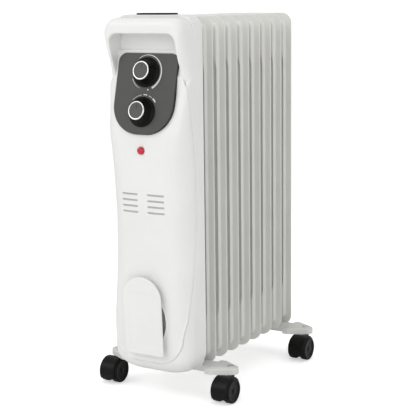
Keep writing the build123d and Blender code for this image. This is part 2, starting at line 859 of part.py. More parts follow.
lamp_depth = front_depth(lamp_z, body_stations)
lamp_seat = lamp_depth - shell_wall - lamp_setback
with BuildPart() as indicator_lens:
    with BuildSketch(front_plane(lamp_seat, lamp_z)):
        Circle(lens_r)
    extrude(amount=lamp_depth + 1 - lamp_seat)
    with BuildSketch(side_plane()):
        with BuildLine():
            base = (lamp_depth + 1, lamp_z)
            tip = (lamp_depth + 1 + lens_dome, lamp_z)
            Line(base, tip)
            ThreePointArc(
                tip,
                (lamp_depth + 1 + lens_dome * 0.72, lamp_z + lens_r * 0.68),
                (lamp_depth + 1, lamp_z + lens_r),
            )
            Line((lamp_depth + 1, lamp_z + lens_r), base)
        make_face()
    revolve(axis=Axis((0, first_fin_y, lamp_z), (0, -1, 0)))
finish(indicator_lens.part, "indicator_lens")

with BuildPart() as lamp_holder:
    with BuildSketch(front_plane(lamp_seat, lamp_z)):
        Circle(lens_r + 2)
        Circle(lens_neck_r - 1, mode=Mode.SUBTRACT)
    extrude(amount=-2)
    with BuildSketch(front_plane(lamp_seat - 2, lamp_z)):
        Circle(lens_neck_r + 1)
        Circle(lens_neck_r - 1, mode=Mode.SUBTRACT)
    extrude(amount=-lamp_holder_length)
finish(lamp_holder.part, "lamp_holder")

with BuildPart() as neon_lamp:
    with BuildSketch(front_plane(lamp_seat - lamp_holder_length, lamp_z)):
        Circle(lens_neck_r - 1)
    extrude(amount=lamp_holder_length)
    fillet(neon_lamp.faces().sort_by(Axis.Y)[0].edges(), 2)
finish(neon_lamp.part, "neon_lamp")


# ============================== Heat shield, gland and wiring ==============================

shield_face = shield_depth + shield_thickness
spacer_x = web_span / (web_count - 1) / 2
spacer_places = [(side * spacer_x, z) for side in (-1, 1) for z in (screw_low_z, screw_high_z)]

with BuildPart() as heat_shield:
    with BuildSketch(front_plane(shield_depth)):
        with Locations((0, (shield_bottom_z + shield_top_z) / 2)):
            RectangleRounded(fin_width, shield_top_z - shield_bottom_z, shield_corner)
        with Locations(*spacer_places):
            Circle(screw_r, mode=Mode.SUBTRACT)
        with Locations((0, (shield_bottom_z + shield_top_z) / 2)):
            with GridLocations(0, shield_slot_pitch, 1, shield_slots):
                SlotOverall(shield_slot_length, shield_slot_height, mode=Mode.SUBTRACT)
    extrude(amount=shield_thickness)
finish(heat_shield.part, "heat_shield")

with BuildPart() as shield_spacers:
    with BuildSketch(front_plane(fin_half)):
        with Locations(*spacer_places):
            Circle(spacer_r)
            Circle(screw_r, mode=Mode.SUBTRACT)
    extrude(amount=shield_depth - fin_half)
finish(shield_spacers.part, "shield_spacers")

hook_screw_face = dish_floor_depth - dish_wall
hook_screw_places = [(0, dish_mid_z + side * hook_screw_up) for side in (-1, 1)]
with BuildPart() as housing_screws:
    for places, start, shank in (
        (spacer_places, fin_half, shield_face - fin_half),
        (hook_screw_places, hook_screw_face, dish_wall + screw_r * 5),
    ):
        with BuildSketch(front_plane(start)):
            with Locations(*places):
                Circle(screw_r)
        extrude(amount=shank)
    for places, seat, outward in ((spacer_places, shield_face, 1), (hook_screw_places, hook_screw_face, -1)):
        with BuildSketch(front_plane(seat)):
            with Locations(*places):
                Circle(screw_head_r)
        extrude(amount=outward * screw_head_height)
finish(housing_screws.part, "housing_screws")

with BuildPart() as terminal_block:
    with BuildSketch(front_plane(shield_face)):
        with Locations((0, terminal_z)):
            Rectangle(terminal_width, terminal_height)
    extrude(amount=terminal_depth)
    fillet(terminal_block.edges().filter_by(Axis.Y), control_corner)
finish(terminal_block.part, "terminal_block")

with BuildPart() as thermal_cutout:
    with BuildSketch(front_plane(shield_face)):
        with Locations((cutout_x, terminal_z)):
            Circle(cutout_r)
    extrude(amount=cutout_height)
    with BuildSketch(front_plane(shield_face + cutout_height)):
        with Locations((cutout_x, terminal_z)):
            Circle(cutout_r * 0.6)
    extrude(amount=cutout_height / 2)
finish(thermal_cutout.part, "thermal_cutout")


def wire(*points):
    """Insulated wire along straight runs with rounded turns."""
    start, following = Vector(points[0]), Vector(points[1])
    with BuildPart() as run:
        with BuildLine():
            FilletPolyline(*points, radius=wire_bend)
        with BuildSketch(Plane(origin=start, z_dir=following - start)):
            Circle(wire_r)
        sweep()
    return run.part


element_front = flange_face_depth + flange_thickness + terminal_length
wire_level = ahead(shield_face + wire_lift)
element_end_y = ahead(element_front)
turn_y = element_end_y - wire_stub
under_block = terminal_z - terminal_height / 2
over_block = terminal_z + terminal_height / 2
switch_back = panel_plane(switch_up, -panel_thickness - shell_wall - switch_body[2])
switch_foot_z = switch_back.origin.Z - switch_body[1] / 2
run_y = switch_back.origin.Y - control_corner - 2 * wire_r
wires = []
for side in (-1, 1):
    leg_x = side * element_leg_x
    post_x = side * terminal_pitch / 2
    element_run = wire(
        (leg_x, element_end_y, bottom_header_z),
        (leg_x, turn_y, bottom_header_z),
        (leg_x, turn_y, under_block - wire_stub),
        (leg_x, wire_level, under_block - wire_stub),
        (leg_x, wire_level, under_block),
    )
    switch_run = wire(
        (post_x, wire_level, over_block),
        (post_x, wire_level, over_block + 3 * wire_stub),
        (post_x, run_y, over_block + 5 * wire_stub),
        (post_x, run_y, switch_foot_z),
    )
    wires = wires + [element_run, switch_run]
with BuildPart() as inner_wires:
    add(wires)
finish(inner_wires.part, "inner_wires")

with BuildPart() as cord_gland:
    with BuildSketch(side_plane(-shell_half_width)):
        with Locations((gland_depth, gland_z)):
            Circle(gland_flange_r)
    extrude(amount=gland_flange)
    chamfer(cord_gland.faces().sort_by(Axis.X)[0].edges(), gland_flange / 3)
    with BuildSketch(side_plane(-shell_half_width)):
        with Locations((gland_depth, gland_z)):
            Circle(gland_sleeve_r)
    extrude(amount=-shell_wall)
    with BuildSketch(side_plane(-shell_half_width + shell_wall)):
        with Locations((gland_depth, gland_z)):
            Circle(gland_flange_r)
    extrude(amount=-gland_flange)
    with BuildSketch(side_plane(-shell_half_width - gland_flange)):
        with Locations((gland_depth, gland_z)):
            Circle(gland_bore_r)
    extrude(amount=-(shell_wall + 2 * gland_flange), mode=Mode.SUBTRACT)
finish(cord_gland.part, "cord_gland")

# ============================== Feet ==============================


bolt_x = collar_outer_r + bolt_gap + bolt_wire_r
plate_under_z = bracket_top_z - bracket_sheet


def wing(side):
    """Outline of one wing of a foot: wide beside the fins, drawn in to the round end that holds the caster."""
    with BuildSketch() as shape:
        with Locations((side * stem_x, 0)):
            Circle(bracket_end_r)
        with Locations((side * (shell_half_width + wing_root + bracket_rim / 2), 0)):
            Rectangle(bracket_rim, wing_width)
        make_hull()
    return shape.sketch


def foot_outline():
    """Outline of a foot from above: a strip between the fins and a wing on each side."""
    with BuildSketch() as shape:
        add(wing(-1))
        add(wing(1))
        Rectangle(2 * (shell_half_width + bracket_rim), bracket_width)
    return shape.sketch


def make_bracket(y):
    """Pressed steel tray that carries two casters, open underneath."""
    outline = foot_outline()
    with BuildPart() as bracket:
        with BuildSketch(Plane(origin=(0, y, bracket_top_z))):
            add(outline)
        extrude(amount=-bracket_rim)
        fillet(bracket.faces().sort_by(Axis.Z)[-1].edges(), bracket_sheet)
        with BuildSketch(Plane(origin=(0, y, plate_under_z))):
            offset(outline.face(), amount=-bracket_sheet)
        extrude(amount=-bracket_rim, mode=Mode.SUBTRACT)
        with BuildSketch(Plane(origin=(0, y, bracket_top_z))):
            offset(outline.face(), amount=-bracket_border)
        extrude(amount=bracket_raise)
        fillet(bracket.faces().sort_by(Axis.Z)[-1].edges(), bracket_raise * 0.7)
        with BuildSketch(Plane(origin=(0, y, 0))):
            with Locations((-bolt_x, 0), (bolt_x, 0)):
                Circle(bolt_wire_r)
            with Locations((-stem_x, 0), (stem_x, 0)):
                Circle(stem_r)
        extrude(amount=2 * bracket_top_z, mode=Mode.SUBTRACT)
    return bracket.part


finish(make_bracket(gap_y[0]), "front_foot")
finish(make_bracket(gap_y[1]), "rear_foot")

bolt_bend_r = collar_outer_r + bolt_gap + bolt_wire_r
bolt_foot_z = bracket_top_z - bracket_rim
with BuildPart() as foot_bolts:
    for y in gap_y:
        with BuildLine() as bow:
            left_leg = Line((-bolt_x, y, bolt_foot_z), (-bolt_x, y, bottom_header_z))
            over = ThreePointArc(left_leg @ 1, (0, y, bottom_header_z + bolt_bend_r), (bolt_x, y, bottom_header_z))
            Line(over @ 1, (bolt_x, y, bolt_foot_z))
        with BuildSketch(Plane(origin=(-bolt_x, y, bolt_foot_z))):
            Circle(bolt_wire_r)
        sweep()
finish(foot_bolts.part, "foot_bolts")

with BuildPart() as wing_nuts:
    for y in gap_y:
        with BuildSketch(Plane(origin=(0, y, plate_under_z))):
            with Locations((-bolt_x, 0), (bolt_x, 0)):
                Circle(nut_r)
        extrude(amount=-nut_height)
        with BuildSketch(Plane(origin=(0, y, plate_under_z - 1))):
            with Locations((-bolt_x, 0), (bolt_x, 0)):
                SlotOverall(wing_span, wing_thickness, rotation=90)
        extrude(amount=-nut_height)
        with BuildSketch(Plane(origin=(0, y, plate_under_z))):
            with Locations((-bolt_x, 0), (bolt_x, 0)):
                Circle(bolt_wire_r)
        extrude(amount=-3 * nut_height, mode=Mode.SUBTRACT)
finish(wing_nuts.part, "wing_nuts")

with BuildPart() as caster_stems:
    top_z = bracket_top_z + bracket_raise
    for y in gap_y:
        with BuildSketch(Plane(origin=(0, y, stem_foot_z))):
            with Locations((-stem_x, 0), (stem_x, 0)):
                Circle(stem_r)
        extrude(amount=top_z - stem_foot_z)
        with BuildSketch(Plane(origin=(0, y, hood_collar_top + joint_gap))):
            with Locations((-stem_x, 0), (stem_x, 0)):
                Circle(stem_shoulder_r)
        extrude(amount=plate_under_z - hood_collar_top - joint_gap)
        with BuildSketch(Plane(origin=(0, y, top_z))):
            with Locations((-stem_x, 0), (stem_x, 0)):
                Circle(stem_head_r)
        extrude(amount=stem_head)
    fillet(caster_stems.faces().sort_by(Axis.Z)[-4:].edges(), stem_head * 0.8)
finish(caster_stems.part, "caster_stems")

# ============================== Casters ==============================


def make_hood(x, y):
    """Hood of a twin wheel caster: fender, middle web and the collar that turns on the stem."""
    axle_y = y - trail
    reach = 2 * hood_r
    drop = math.radians(hood_drop_angle)
    with BuildPart() as hood:
        with BuildSketch(Plane(origin=(x, axle_y, wheel_r), x_dir=(0, 1, 0), z_dir=(1, 0, 0))):
            Circle(hood_r)
            Polygon(
                (0, 0),
                (reach * math.cos(drop), -reach * math.sin(drop)),
                (reach, -2 * reach),
                (-reach, -2 * reach),
                (-reach * math.cos(drop), -reach * math.sin(drop)),
                align=None,
                mode=Mode.SUBTRACT,
            )
            Circle(hub_r)
        extrude(amount=hood_half_width, both=True)
        fillet(
            hood.edges().filter_by(GeomType.CIRCLE).filter_by(lambda e: abs(e.radius - hood_r) < 0.01), hood_edge
        )
        with BuildSketch(Plane(origin=(x, y, wheel_r + 4))):
            Circle(stem_collar_r)
        extrude(amount=hood_collar_top - wheel_r - 4)
        for side in (-1, 1):
            with BuildSketch(Plane(origin=(x + side * web_half, axle_y, wheel_r), z_dir=(side, 0, 0))):
                Circle(wheel_r + hood_gap)
            extrude(amount=2 * hood_half_width, mode=Mode.SUBTRACT)
        with BuildSketch(Plane(origin=(x, y, hood_collar_top))):
            Circle(stem_r + stem_running)
        extrude(amount=-(hood_collar_top - stem_foot_z + stem_running), mode=Mode.SUBTRACT)
        with BuildSketch(Plane(origin=(x, axle_y, wheel_r), z_dir=(1, 0, 0))):
            Circle(axle_r)
        extrude(amount=hood_half_width, both=True, mode=Mode.SUBTRACT)
    return hood.part


def make_wheel(x, y, side):
    """Solid wheel with a dished outer face and a blind bore for the axle."""
    inner_x = x + side * (wheel_mid_x - wheel_width / 2)
    outer_x = inner_x + side * wheel_width
    axle_y = y - trail
    with BuildPart() as wheel:
        with BuildSketch(Plane(origin=(inner_x, axle_y, wheel_r), z_dir=(side, 0, 0))):
            Circle(wheel_r)
        extrude(amount=wheel_width)
        fillet(wheel.edges().filter_by(GeomType.CIRCLE), wheel_edge)
        with BuildSketch(Plane(origin=(outer_x, axle_y, wheel_r), z_dir=(-side, 0, 0))):
            Circle(wheel_dish_r)
        extrude(amount=wheel_dish, mode=Mode.SUBTRACT)
        with BuildSketch(Plane(origin=(inner_x, axle_y, wheel_r), z_dir=(side, 0, 0))):
            Circle(axle_r + axle_running)
        extrude(amount=wheel_width - wheel_dish - axle_cover, mode=Mode.SUBTRACT)
    return wheel.part


def make_axle(x, y):
    """Pin through the hood's web that both wheels run on."""
    half = wheel_mid_x + wheel_width / 2 - wheel_dish - axle_cover - joint_gap
    with BuildPart() as axle:
        with BuildSketch(Plane(origin=(x, y - trail, wheel_r), z_dir=(1, 0, 0))):
            Circle(axle_r)
        extrude(amount=half, both=True)
    return axle.part


for place, x, y in (
    ("front_left", -stem_x, gap_y[0]),
    ("front_right", stem_x, gap_y[0]),
    ("rear_left", -stem_x, gap_y[1]),
    ("rear_right", stem_x, gap_y[1]),
):
    finish(make_hood(x, y), f"{place}_hood")
    finish(make_wheel(x, y, -1), f"{place}_wheel_a")
    finish(make_wheel(x, y, 1), f"{place}_wheel_b")
    finish(make_axle(x, y), f"{place}_axle")
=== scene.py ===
"""Oil filled radiator heater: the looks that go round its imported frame.

Metres, +Z up, the controls face -Y. Sizes below are in millimetres and follow the part's own, but for
the two turns under the rear shell, LOW_CORNER and bowl, which are wider here than in the part.
"""

import json
import math

import bmesh
import bpy
import numpy as np
from mathutils import Matrix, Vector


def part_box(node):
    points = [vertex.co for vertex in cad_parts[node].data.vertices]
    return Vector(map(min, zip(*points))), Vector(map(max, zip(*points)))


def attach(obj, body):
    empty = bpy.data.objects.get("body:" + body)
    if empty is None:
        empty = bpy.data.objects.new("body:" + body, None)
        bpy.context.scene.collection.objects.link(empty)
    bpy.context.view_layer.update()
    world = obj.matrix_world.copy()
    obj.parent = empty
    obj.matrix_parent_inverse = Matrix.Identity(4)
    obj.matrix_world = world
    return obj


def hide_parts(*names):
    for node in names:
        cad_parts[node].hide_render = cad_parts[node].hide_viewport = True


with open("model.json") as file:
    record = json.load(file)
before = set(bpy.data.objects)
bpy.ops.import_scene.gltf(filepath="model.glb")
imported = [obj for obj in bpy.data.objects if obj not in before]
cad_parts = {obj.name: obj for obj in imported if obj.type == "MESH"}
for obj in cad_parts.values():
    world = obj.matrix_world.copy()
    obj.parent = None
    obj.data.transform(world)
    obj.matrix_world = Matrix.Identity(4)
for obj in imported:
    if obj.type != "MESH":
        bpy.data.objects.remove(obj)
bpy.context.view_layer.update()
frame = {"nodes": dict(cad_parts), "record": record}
MM = 0.001

# ---------------------------------------------------------------------------- shared shader groups


def new_group(name, inputs, outputs):
    """Empty shader group with named number inputs and named outputs."""
    group = bpy.data.node_groups.new(name, "ShaderNodeTree")
    for label, value in inputs.items():
        socket = group.interface.new_socket(label, in_out="INPUT", socket_type="NodeSocketFloat")
        socket.default_value = value
    for label, kind in outputs.items():
        group.interface.new_socket(label, in_out="OUTPUT", socket_type=kind)
    start = group.nodes.new("NodeGroupInput")
    end = group.nodes.new("NodeGroupOutput")
    return group, start, end


def math_node(tree, kind, first, second=None, clamp=False):
    """Math node fed by sockets or numbers."""
    node = tree.nodes.new("ShaderNodeMath")
    node.operation = kind
    node.use_clamp = clamp
    for slot, value in enumerate((first, second)):
        if value is None:
            continue
        if isinstance(value, (int, float)):
            node.inputs[slot].default_value = value
        else:
            tree.links.new(value, node.inputs[slot])
    return node.outputs[0]


def noise(tree, scale, detail=3.0, roughness=0.5, stretch=None):
    """Noise over Object coordinates, with an optional stretch along each axis."""
    place = tree.nodes.new("ShaderNodeTexCoord").outputs["Object"]
    if stretch:
        mapping = tree.nodes.new("ShaderNodeMapping")
        mapping.inputs["Scale"].default_value = stretch
        tree.links.new(place, mapping.inputs["Vector"])
        place = mapping.outputs["Vector"]
    node = tree.nodes.new("ShaderNodeTexNoise")
    node.inputs["Detail"].default_value = detail
    node.inputs["Roughness"].default_value = roughness
    tree.links.new(place, node.inputs["Vector"])
    if isinstance(scale, (int, float)):
        node.inputs["Scale"].default_value = scale
    else:
        tree.links.new(scale, node.inputs["Scale"])
    return node.outputs["Fac"]


def ramp(tree, value, low, high):
    """Value spread from 0 at low to 1 at high."""
    node = tree.nodes.new("ShaderNodeMapRange")
    node.inputs["From Min"].default_value = low
    node.inputs["From Max"].default_value = high
    tree.links.new(value, node.inputs["Value"])
    return node.outputs["Result"]


def make_grain():
    """Moulded or sprayed skin: fine grain over a slower waviness, as a height and as a tone."""
    group, start, end = new_group(
        "Skin grain",
        {"Scale": 900.0, "Waviness": 0.3},
        {"Height": "NodeSocketFloat", "Tone": "NodeSocketFloat"},
    )
    fine = noise(group, start.outputs["Scale"], 2.0)
    slow = noise(group, math_node(group, "MULTIPLY", start.outputs["Scale"], 0.04), 1.0)
    wave = math_node(group, "MULTIPLY", slow, start.outputs["Waviness"])
    group.links.new(math_node(group, "ADD", fine, wave), end.inputs["Height"])
    group.links.new(noise(group, 14.0, 4.0, 0.6), end.inputs["Tone"])
    return group


def make_edges():
    """Mask of the outer edges, where paint thins and plastic polishes with handling, and on the fins a
    painted highlight along the seam edges.
    """
    group, start, end = new_group(
        "Worn and highlit edges", {"Reach": 0.0008, "Strength": 1.0}, {"Mask": "NodeSocketFloat"}
    )
    bevel = group.nodes.new("ShaderNodeBevel")
    bevel.samples = 4
    group.links.new(start.outputs["Reach"], bevel.inputs["Radius"])
    flat = group.nodes.new("ShaderNodeNewGeometry")
    dot = group.nodes.new("ShaderNodeVectorMath")
    dot.operation = "DOT_PRODUCT"
    group.links.new(bevel.outputs["Normal"], dot.inputs[0])
    group.links.new(flat.outputs["Normal"], dot.inputs[1])
    turned = math_node(group, "SUBTRACT", 1.0, dot.outputs["Value"], clamp=True)
    patchy = math_node(group, "MULTIPLY", turned, ramp(group, noise(group, 160.0, 3.0), 0.35, 0.6))
    scaled = math_node(group, "MULTIPLY", patchy, start.outputs["Strength"], clamp=True)
    group.links.new(scaled, end.inputs["Mask"])
    return group


def make_dust():
    """Light dust that settles on faces turned upward, broken up by soft noise."""
    group, start, end = new_group("Settled dust", {"Amount": 0.2}, {"Mask": "NodeSocketFloat"})
    geometry = group.nodes.new("ShaderNodeNewGeometry")
    split = group.nodes.new("ShaderNodeSeparateXYZ")
    group.links.new(geometry.outputs["Normal"], split.inputs[0])
    upward = ramp(group, split.outputs["Z"], 0.3, 1.0)
    patches = math_node(group, "MULTIPLY", upward, ramp(group, noise(group, 55.0, 5.0, 0.65), 0.3, 0.75))
    settled = math_node(group, "MULTIPLY", patches, start.outputs["Amount"], clamp=True)
    group.links.new(settled, end.inputs["Mask"])
    return group


def make_brush():
    """Fine scratches drawn along one direction, as a height and a roughness change."""
    group, start, end = new_group("Drawn scratches", {"Scale": 400.0}, {"Height": "NodeSocketFloat"})
    streaks = noise(group, start.outputs["Scale"], 3.0, 0.6, stretch=(1.0, 0.08, 0.6))
    group.links.new(streaks, end.inputs["Height"])
    return group


GRAIN = make_grain()
EDGES = make_edges()
DUST = make_dust()
BRUSH = make_brush()


def use(tree, group, **values):
    """Places a shared group in a material with its own numbers."""
    node = tree.nodes.new("ShaderNodeGroup")
    node.node_tree = group
    for label, value in values.items():
        node.inputs[label].default_value = value
    return node


def mix(tree, mask, first, second):
    """Colour that goes from the first to the second as the mask rises."""
    node = tree.nodes.new("ShaderNodeMix")
    node.data_type = "RGBA"
    for socket, value in ((node.inputs[6], first), (node.inputs[7], second)):
        if isinstance(value, tuple):
            socket.default_value = (*value, 1.0)
        else:
            tree.links.new(value, socket)
    tree.links.new(mask, node.inputs[0])
    return node.outputs[2]


def finish_material(name, body, shade, edge, rough, rough_spread, grain_scale, grain_depth, **extra):
    """Painted or moulded surface: body drifting to a shade, paler edges for wear and painted highlight, dust,
    painted shade, grain and uneven gloss.
    """
    material = bpy.data.materials.new(name)
    material.use_nodes = True
    tree = material.node_tree
    shader = tree.nodes["Principled BSDF"]
    skin = use(tree, GRAIN, Scale=grain_scale, Waviness=extra.get("waviness", 0.3))
    edges = use(tree, EDGES, Reach=extra.get("reach", 0.0008), Strength=extra.get("wear", 1.0))
    dust = use(tree, DUST, Amount=extra.get("dust", 0.1))
    colour = mix(tree, ramp(tree, skin.outputs["Tone"], 0.3, 0.7), body, shade)
    # Paler edges: wear, and where turned up on the fins a painted highlight.
    colour = mix(tree, edges.outputs["Mask"], colour, edge)
    colour = mix(tree, dust.outputs["Mask"], colour, extra.get("dust_colour", (0.62, 0.60, 0.56)))
    # Painted shade: the colour is pulled toward a given dark colour where the per-point shade mask is high.
    if "recess" in extra:
        attribute = tree.nodes.new("ShaderNodeAttribute")
        attribute.attribute_name = "recess"
        colour = mix(tree, attribute.outputs["Fac"], colour, extra["recess"])
    tree.links.new(colour, shader.inputs["Base Color"])
    uneven = math_node(tree, "MULTIPLY", skin.outputs["Tone"], rough_spread)
    dulled = math_node(tree, "ADD", uneven, rough - rough_spread / 2)
    dusty = math_node(tree, "MULTIPLY", dust.outputs["Mask"], 0.3)
    tree.links.new(math_node(tree, "ADD", dulled, dusty, clamp=True), shader.inputs["Roughness"])
    bump = tree.nodes.new("ShaderNodeBump")
    bump.inputs["Strength"].default_value = extra.get("bump", 0.25)
    bump.inputs["Distance"].default_value = grain_depth
    tree.links.new(skin.outputs["Height"], bump.inputs["Height"])
    tree.links.new(bump.outputs["Normal"], shader.inputs["Normal"])
    shader.inputs["Metallic"].default_value = extra.get("metallic", 0.0)
    shader.inputs["IOR"].default_value = extra.get("ior", 1.48)
    if "coat" in extra:
        shader.inputs["Coat Weight"].default_value = extra["coat"]
        shader.inputs["Coat Roughness"].default_value = 0.12
    return material


def metal_material(name, body, shade, rough, scale, depth):
    """Bare or plated metal with drawn scratches, uneven gloss and brighter edges."""
    material = bpy.data.materials.new(name)
    material.use_nodes = True
    tree = material.node_tree
    shader = tree.nodes["Principled BSDF"]
    brushed = use(tree, BRUSH, Scale=scale)
    skin = use(tree, GRAIN, Scale=scale * 2, Waviness=0.2)
    edges = use(tree, EDGES, Reach=0.0005, Strength=0.8)
    colour = mix(tree, ramp(tree, skin.outputs["Tone"], 0.3, 0.7), body, shade)
    bright = tuple(min(1.0, c * 1.2 + 0.05) for c in body)
    tree.links.new(mix(tree, edges.outputs["Mask"], colour, bright), shader.inputs["Base Color"])
    spread = math_node(tree, "MULTIPLY", brushed.outputs["Height"], 0.16)
    tree.links.new(math_node(tree, "ADD", spread, rough - 0.08, clamp=True), shader.inputs["Roughness"])
    bump = tree.nodes.new("ShaderNodeBump")
    bump.inputs["Strength"].default_value = 0.3
    bump.inputs["Distance"].default_value = depth
    tree.links.new(brushed.outputs["Height"], bump.inputs["Height"])
    tree.links.new(bump.outputs["Normal"], shader.inputs["Normal"])
    shader.inputs["Metallic"].default_value = 1.0
    return material


def clear_material(name, body, shade, rough, transmission, glow):
    """Clear moulding or glass with a faint flow pattern in its colour and gloss."""
    material = bpy.data.materials.new(name)
    material.use_nodes = True
    tree = material.node_tree
    shader = tree.nodes["Principled BSDF"]
    skin = use(tree, GRAIN, Scale=700.0, Waviness=0.5)
    colour = mix(tree, ramp(tree, skin.outputs["Tone"], 0.3, 0.7), body, shade)
    tree.links.new(colour, shader.inputs["Base Color"])
    uneven = math_node(tree, "MULTIPLY", skin.outputs["Tone"], 0.08)
    tree.links.new(math_node(tree, "ADD", uneven, rough), shader.inputs["Roughness"])
    bump = tree.nodes.new("ShaderNodeBump")
    bump.inputs["Strength"].default_value = 0.1
    bump.inputs["Distance"].default_value = 0.00005
    tree.links.new(skin.outputs["Height"], bump.inputs["Height"])
    tree.links.new(bump.outputs["Normal"], shader.inputs["Normal"])
    shader.inputs["Transmission Weight"].default_value = transmission
    shader.inputs["Emission Strength"].default_value = glow
    tree.links.new(colour, shader.inputs["Emission Color"])
    shader.inputs["Coat Weight"].default_value = 0.5
    return material


# HOUSING: its last colour is painted shade, laid near black into the cover's dish, louvres and lamp seat.
HOUSING = finish_material(
    "Housing moulding", (0.80, 0.80, 0.79), (0.77, 0.77, 0.76), (0.86, 0.86, 0.85),
    0.36, 0.10, 1500.0, 0.00003,
    dust=0.05, recess=(0.10, 0.10, 0.10), wear=0.6,
)
# ENAMEL: its strong pale edges are a painted highlight along the seam edges, and its last colour is a painted
# shade line at the foot of the oil ways.
ENAMEL = finish_material(
    "Fin enamel", (0.73, 0.73, 0.70), (0.69, 0.69, 0.66), (0.86, 0.86, 0.83),
    0.33, 0.12, 700.0, 0.00004,
    dust=0.10, waviness=0.8, wear=1.8, reach=0.0012, recess=(0.56, 0.56, 0.53),
)
FOOT = finish_material(
    "Foot enamel", (0.68, 0.68, 0.66), (0.64, 0.64, 0.62), (0.84, 0.84, 0.82),
    0.36, 0.12, 800.0, 0.00004,
    dust=0.15, waviness=0.7, wear=1.2,
)
# PANEL: its last colour is painted shade, near black on the plate's side.
PANEL = finish_material(
    "Panel moulding", (0.060, 0.061, 0.055), (0.051, 0.052, 0.047), (0.13, 0.13, 0.12),
    0.52, 0.12, 2600.0, 0.00006,
    dust=0.04, bump=0.5, wear=0.5, recess=(0.004, 0.004, 0.004),
)
CAP = finish_material(
    "Dial cap", (0.075, 0.075, 0.072), (0.060, 0.060, 0.058), (0.11, 0.11, 0.11),
    0.50, 0.10, 2400.0, 0.00005,
    dust=0.04, bump=0.5, wear=0.4,
)
BLACK = finish_material(
    "Black moulding", (0.004, 0.004, 0.004), (0.002, 0.002, 0.002), (0.02, 0.02, 0.02),
    0.42, 0.14, 1800.0, 0.00004,
    dust=0.0, wear=0.4, ior=1.22,
)
CASTER = finish_material(
    "Caster moulding", (0.005, 0.005, 0.005), (0.003, 0.003, 0.003), (0.03, 0.03, 0.03),
    0.36, 0.16, 1200.0, 0.00005,
    dust=0.01, wear=0.5, ior=1.24,
)
DARK = finish_material(
    "Control moulding", (0.05, 0.05, 0.05), (0.035, 0.035, 0.035), (0.10, 0.10, 0.10),
    0.5, 0.1, 1600.0, 0.00004,
    dust=0.1,
)
RUBBER = finish_material(
    "Gasket rubber", (0.16, 0.04, 0.02), (0.12, 0.03, 0.02), (0.22, 0.08, 0.05),
    0.7, 0.1, 1000.0, 0.00006, dust=0.1,
)
WIRE = finish_material(
    "Wire insulation", (0.16, 0.07, 0.03), (0.12, 0.05, 0.02), (0.22, 0.12, 0.07),
    0.45, 0.1, 1400.0, 0.00003,
    dust=0.05,
)
PRINT = finish_material(
    "Printed ink", (0.72, 0.73, 0.71), (0.60, 0.61, 0.59), (0.80, 0.80, 0.78),
    0.45, 0.1, 3000.0, 0.00002, dust=0.02,
)
BRIGHT = metal_material("Satin bright ring", (0.74, 0.74, 0.73), (0.66, 0.66, 0.65), 0.26, 900.0, 0.00002)
ZINC = metal_material("Zinc plate", (0.64, 0.65, 0.66), (0.55, 0.56, 0.57), 0.34, 500.0, 0.00004)
SHIELD = metal_material("Galvanised sheet", (0.58, 0.59, 0.60), (0.48, 0.49, 0.50), 0.42, 120.0, 0.00004)
ELEMENT = metal_material("Element metal", (0.50, 0.48, 0.45), (0.38, 0.36, 0.34), 0.40, 400.0, 0.00004)
LENS = clear_material("Red lens", (0.60, 0.004, 0.022), (0.48, 0.002, 0.016), 0.06, 0.25, 0.12)
GLASS = clear_material("Lamp glass", (0.90, 0.82, 0.74), (0.85, 0.76, 0.68), 0.03, 0.8, 0.0)

FINISH_OF_SLOT = {
    "fin_enamel": ENAMEL,
    "foot_enamel": FOOT,
    "white_housing": HOUSING,
    "panel_grey": PANEL,
    "bright_ring": BRIGHT,
    "cap_grey": CAP,
    "black_plastic": BLACK,
    "caster_black": CASTER,
    "red_lens": LENS,
    "lamp_glass": GLASS,
    "zinc_steel": ZINC,
    "shield_steel": SHIELD,
    "element_metal": ELEMENT,
    "gasket_rubber": RUBBER,
    "wire_insulation": WIRE,
    "control_moulding": DARK,
}
for part in frame["record"]["subparts"]:
    mesh = frame["nodes"][part["node"]].data
    mesh.materials.clear()
    mesh.materials.append(FINISH_OF_SLOT[part["material_slot"]])

# ---------------------------------------------------------------------------- sizes, in millimetres

FIRST_FIN_Y = -121.404
FIN_PITCH, FIN_HALF_WIDTH, FIN_LOW, FIN_HIGH, FIN_CORNER = 39.0, 72.5, 48.5, 626.0, 20.0
SHELL_HALF, SHELL_LOW, SHELL_HIGH, SHELL_CORNER, SHELL_REAR = 75.5, 45.5, 629.0, 23.0, -2.5
WALL = 2.5
JOINT_DEPTH = 25.0
LEAN = math.radians(13.8)
PANEL_MID_DEPTH, PANEL_MID_Z, PANEL_HALF_X, PANEL_HALF_UP = 52.0, 506.5, 56.7, 65.0
# Height, depth ahead of the first fin, plan corner radius.
FRONT = np.array([
    (40.0, 55.0, 27.0), (106.0, 59.5, 30.0), (161.0, 62.0, 38.0), (228.0, 62.5, 48.0), (310.0, 63.0, 51.0),
    (385.0, 65.3, 46.0), (417.0, 65.3, 40.0), (441.0, 63.0, 30.0), (500.0, 47.3, 13.0), (518.0, 44.0, 8.0),
    (540.0, 41.6, 7.0),
])
ARM = np.array([(505.0, 38.0), (537.0, 42.0), (548.0, 46.5), (565.0, 53.5), (590.0, 60.5), (640.0, 61.0)])
SEAM = np.array([
    (111.5, 45.0), (151.0, 42.0), (212.0, 29.5), (300.0, 21.0), (390.0, 24.0), (437.0, 30.0), (479.0, 37.0),
    (512.0, 40.0), (540.0, 40.0),
])
PANEL_BACK = -6.9
LOW_CORNER = 37.0
RIM_LOW, RIM_CORNER, RIM_HALF = 67.5, 44.0, 66.0
COVER_TOP, BEHIND_COVER = 534.0, 13.0
RIM_END, CUT_START, CUT_END = 169.0, 514.0, 530.0
OPENING_HALF, OPENING_R, OPENING_TOP = 62.0, 15.0, 600.0
BAR_R, BAR_TOP, ARM_LOW = 23.0, 624.0, 506.0
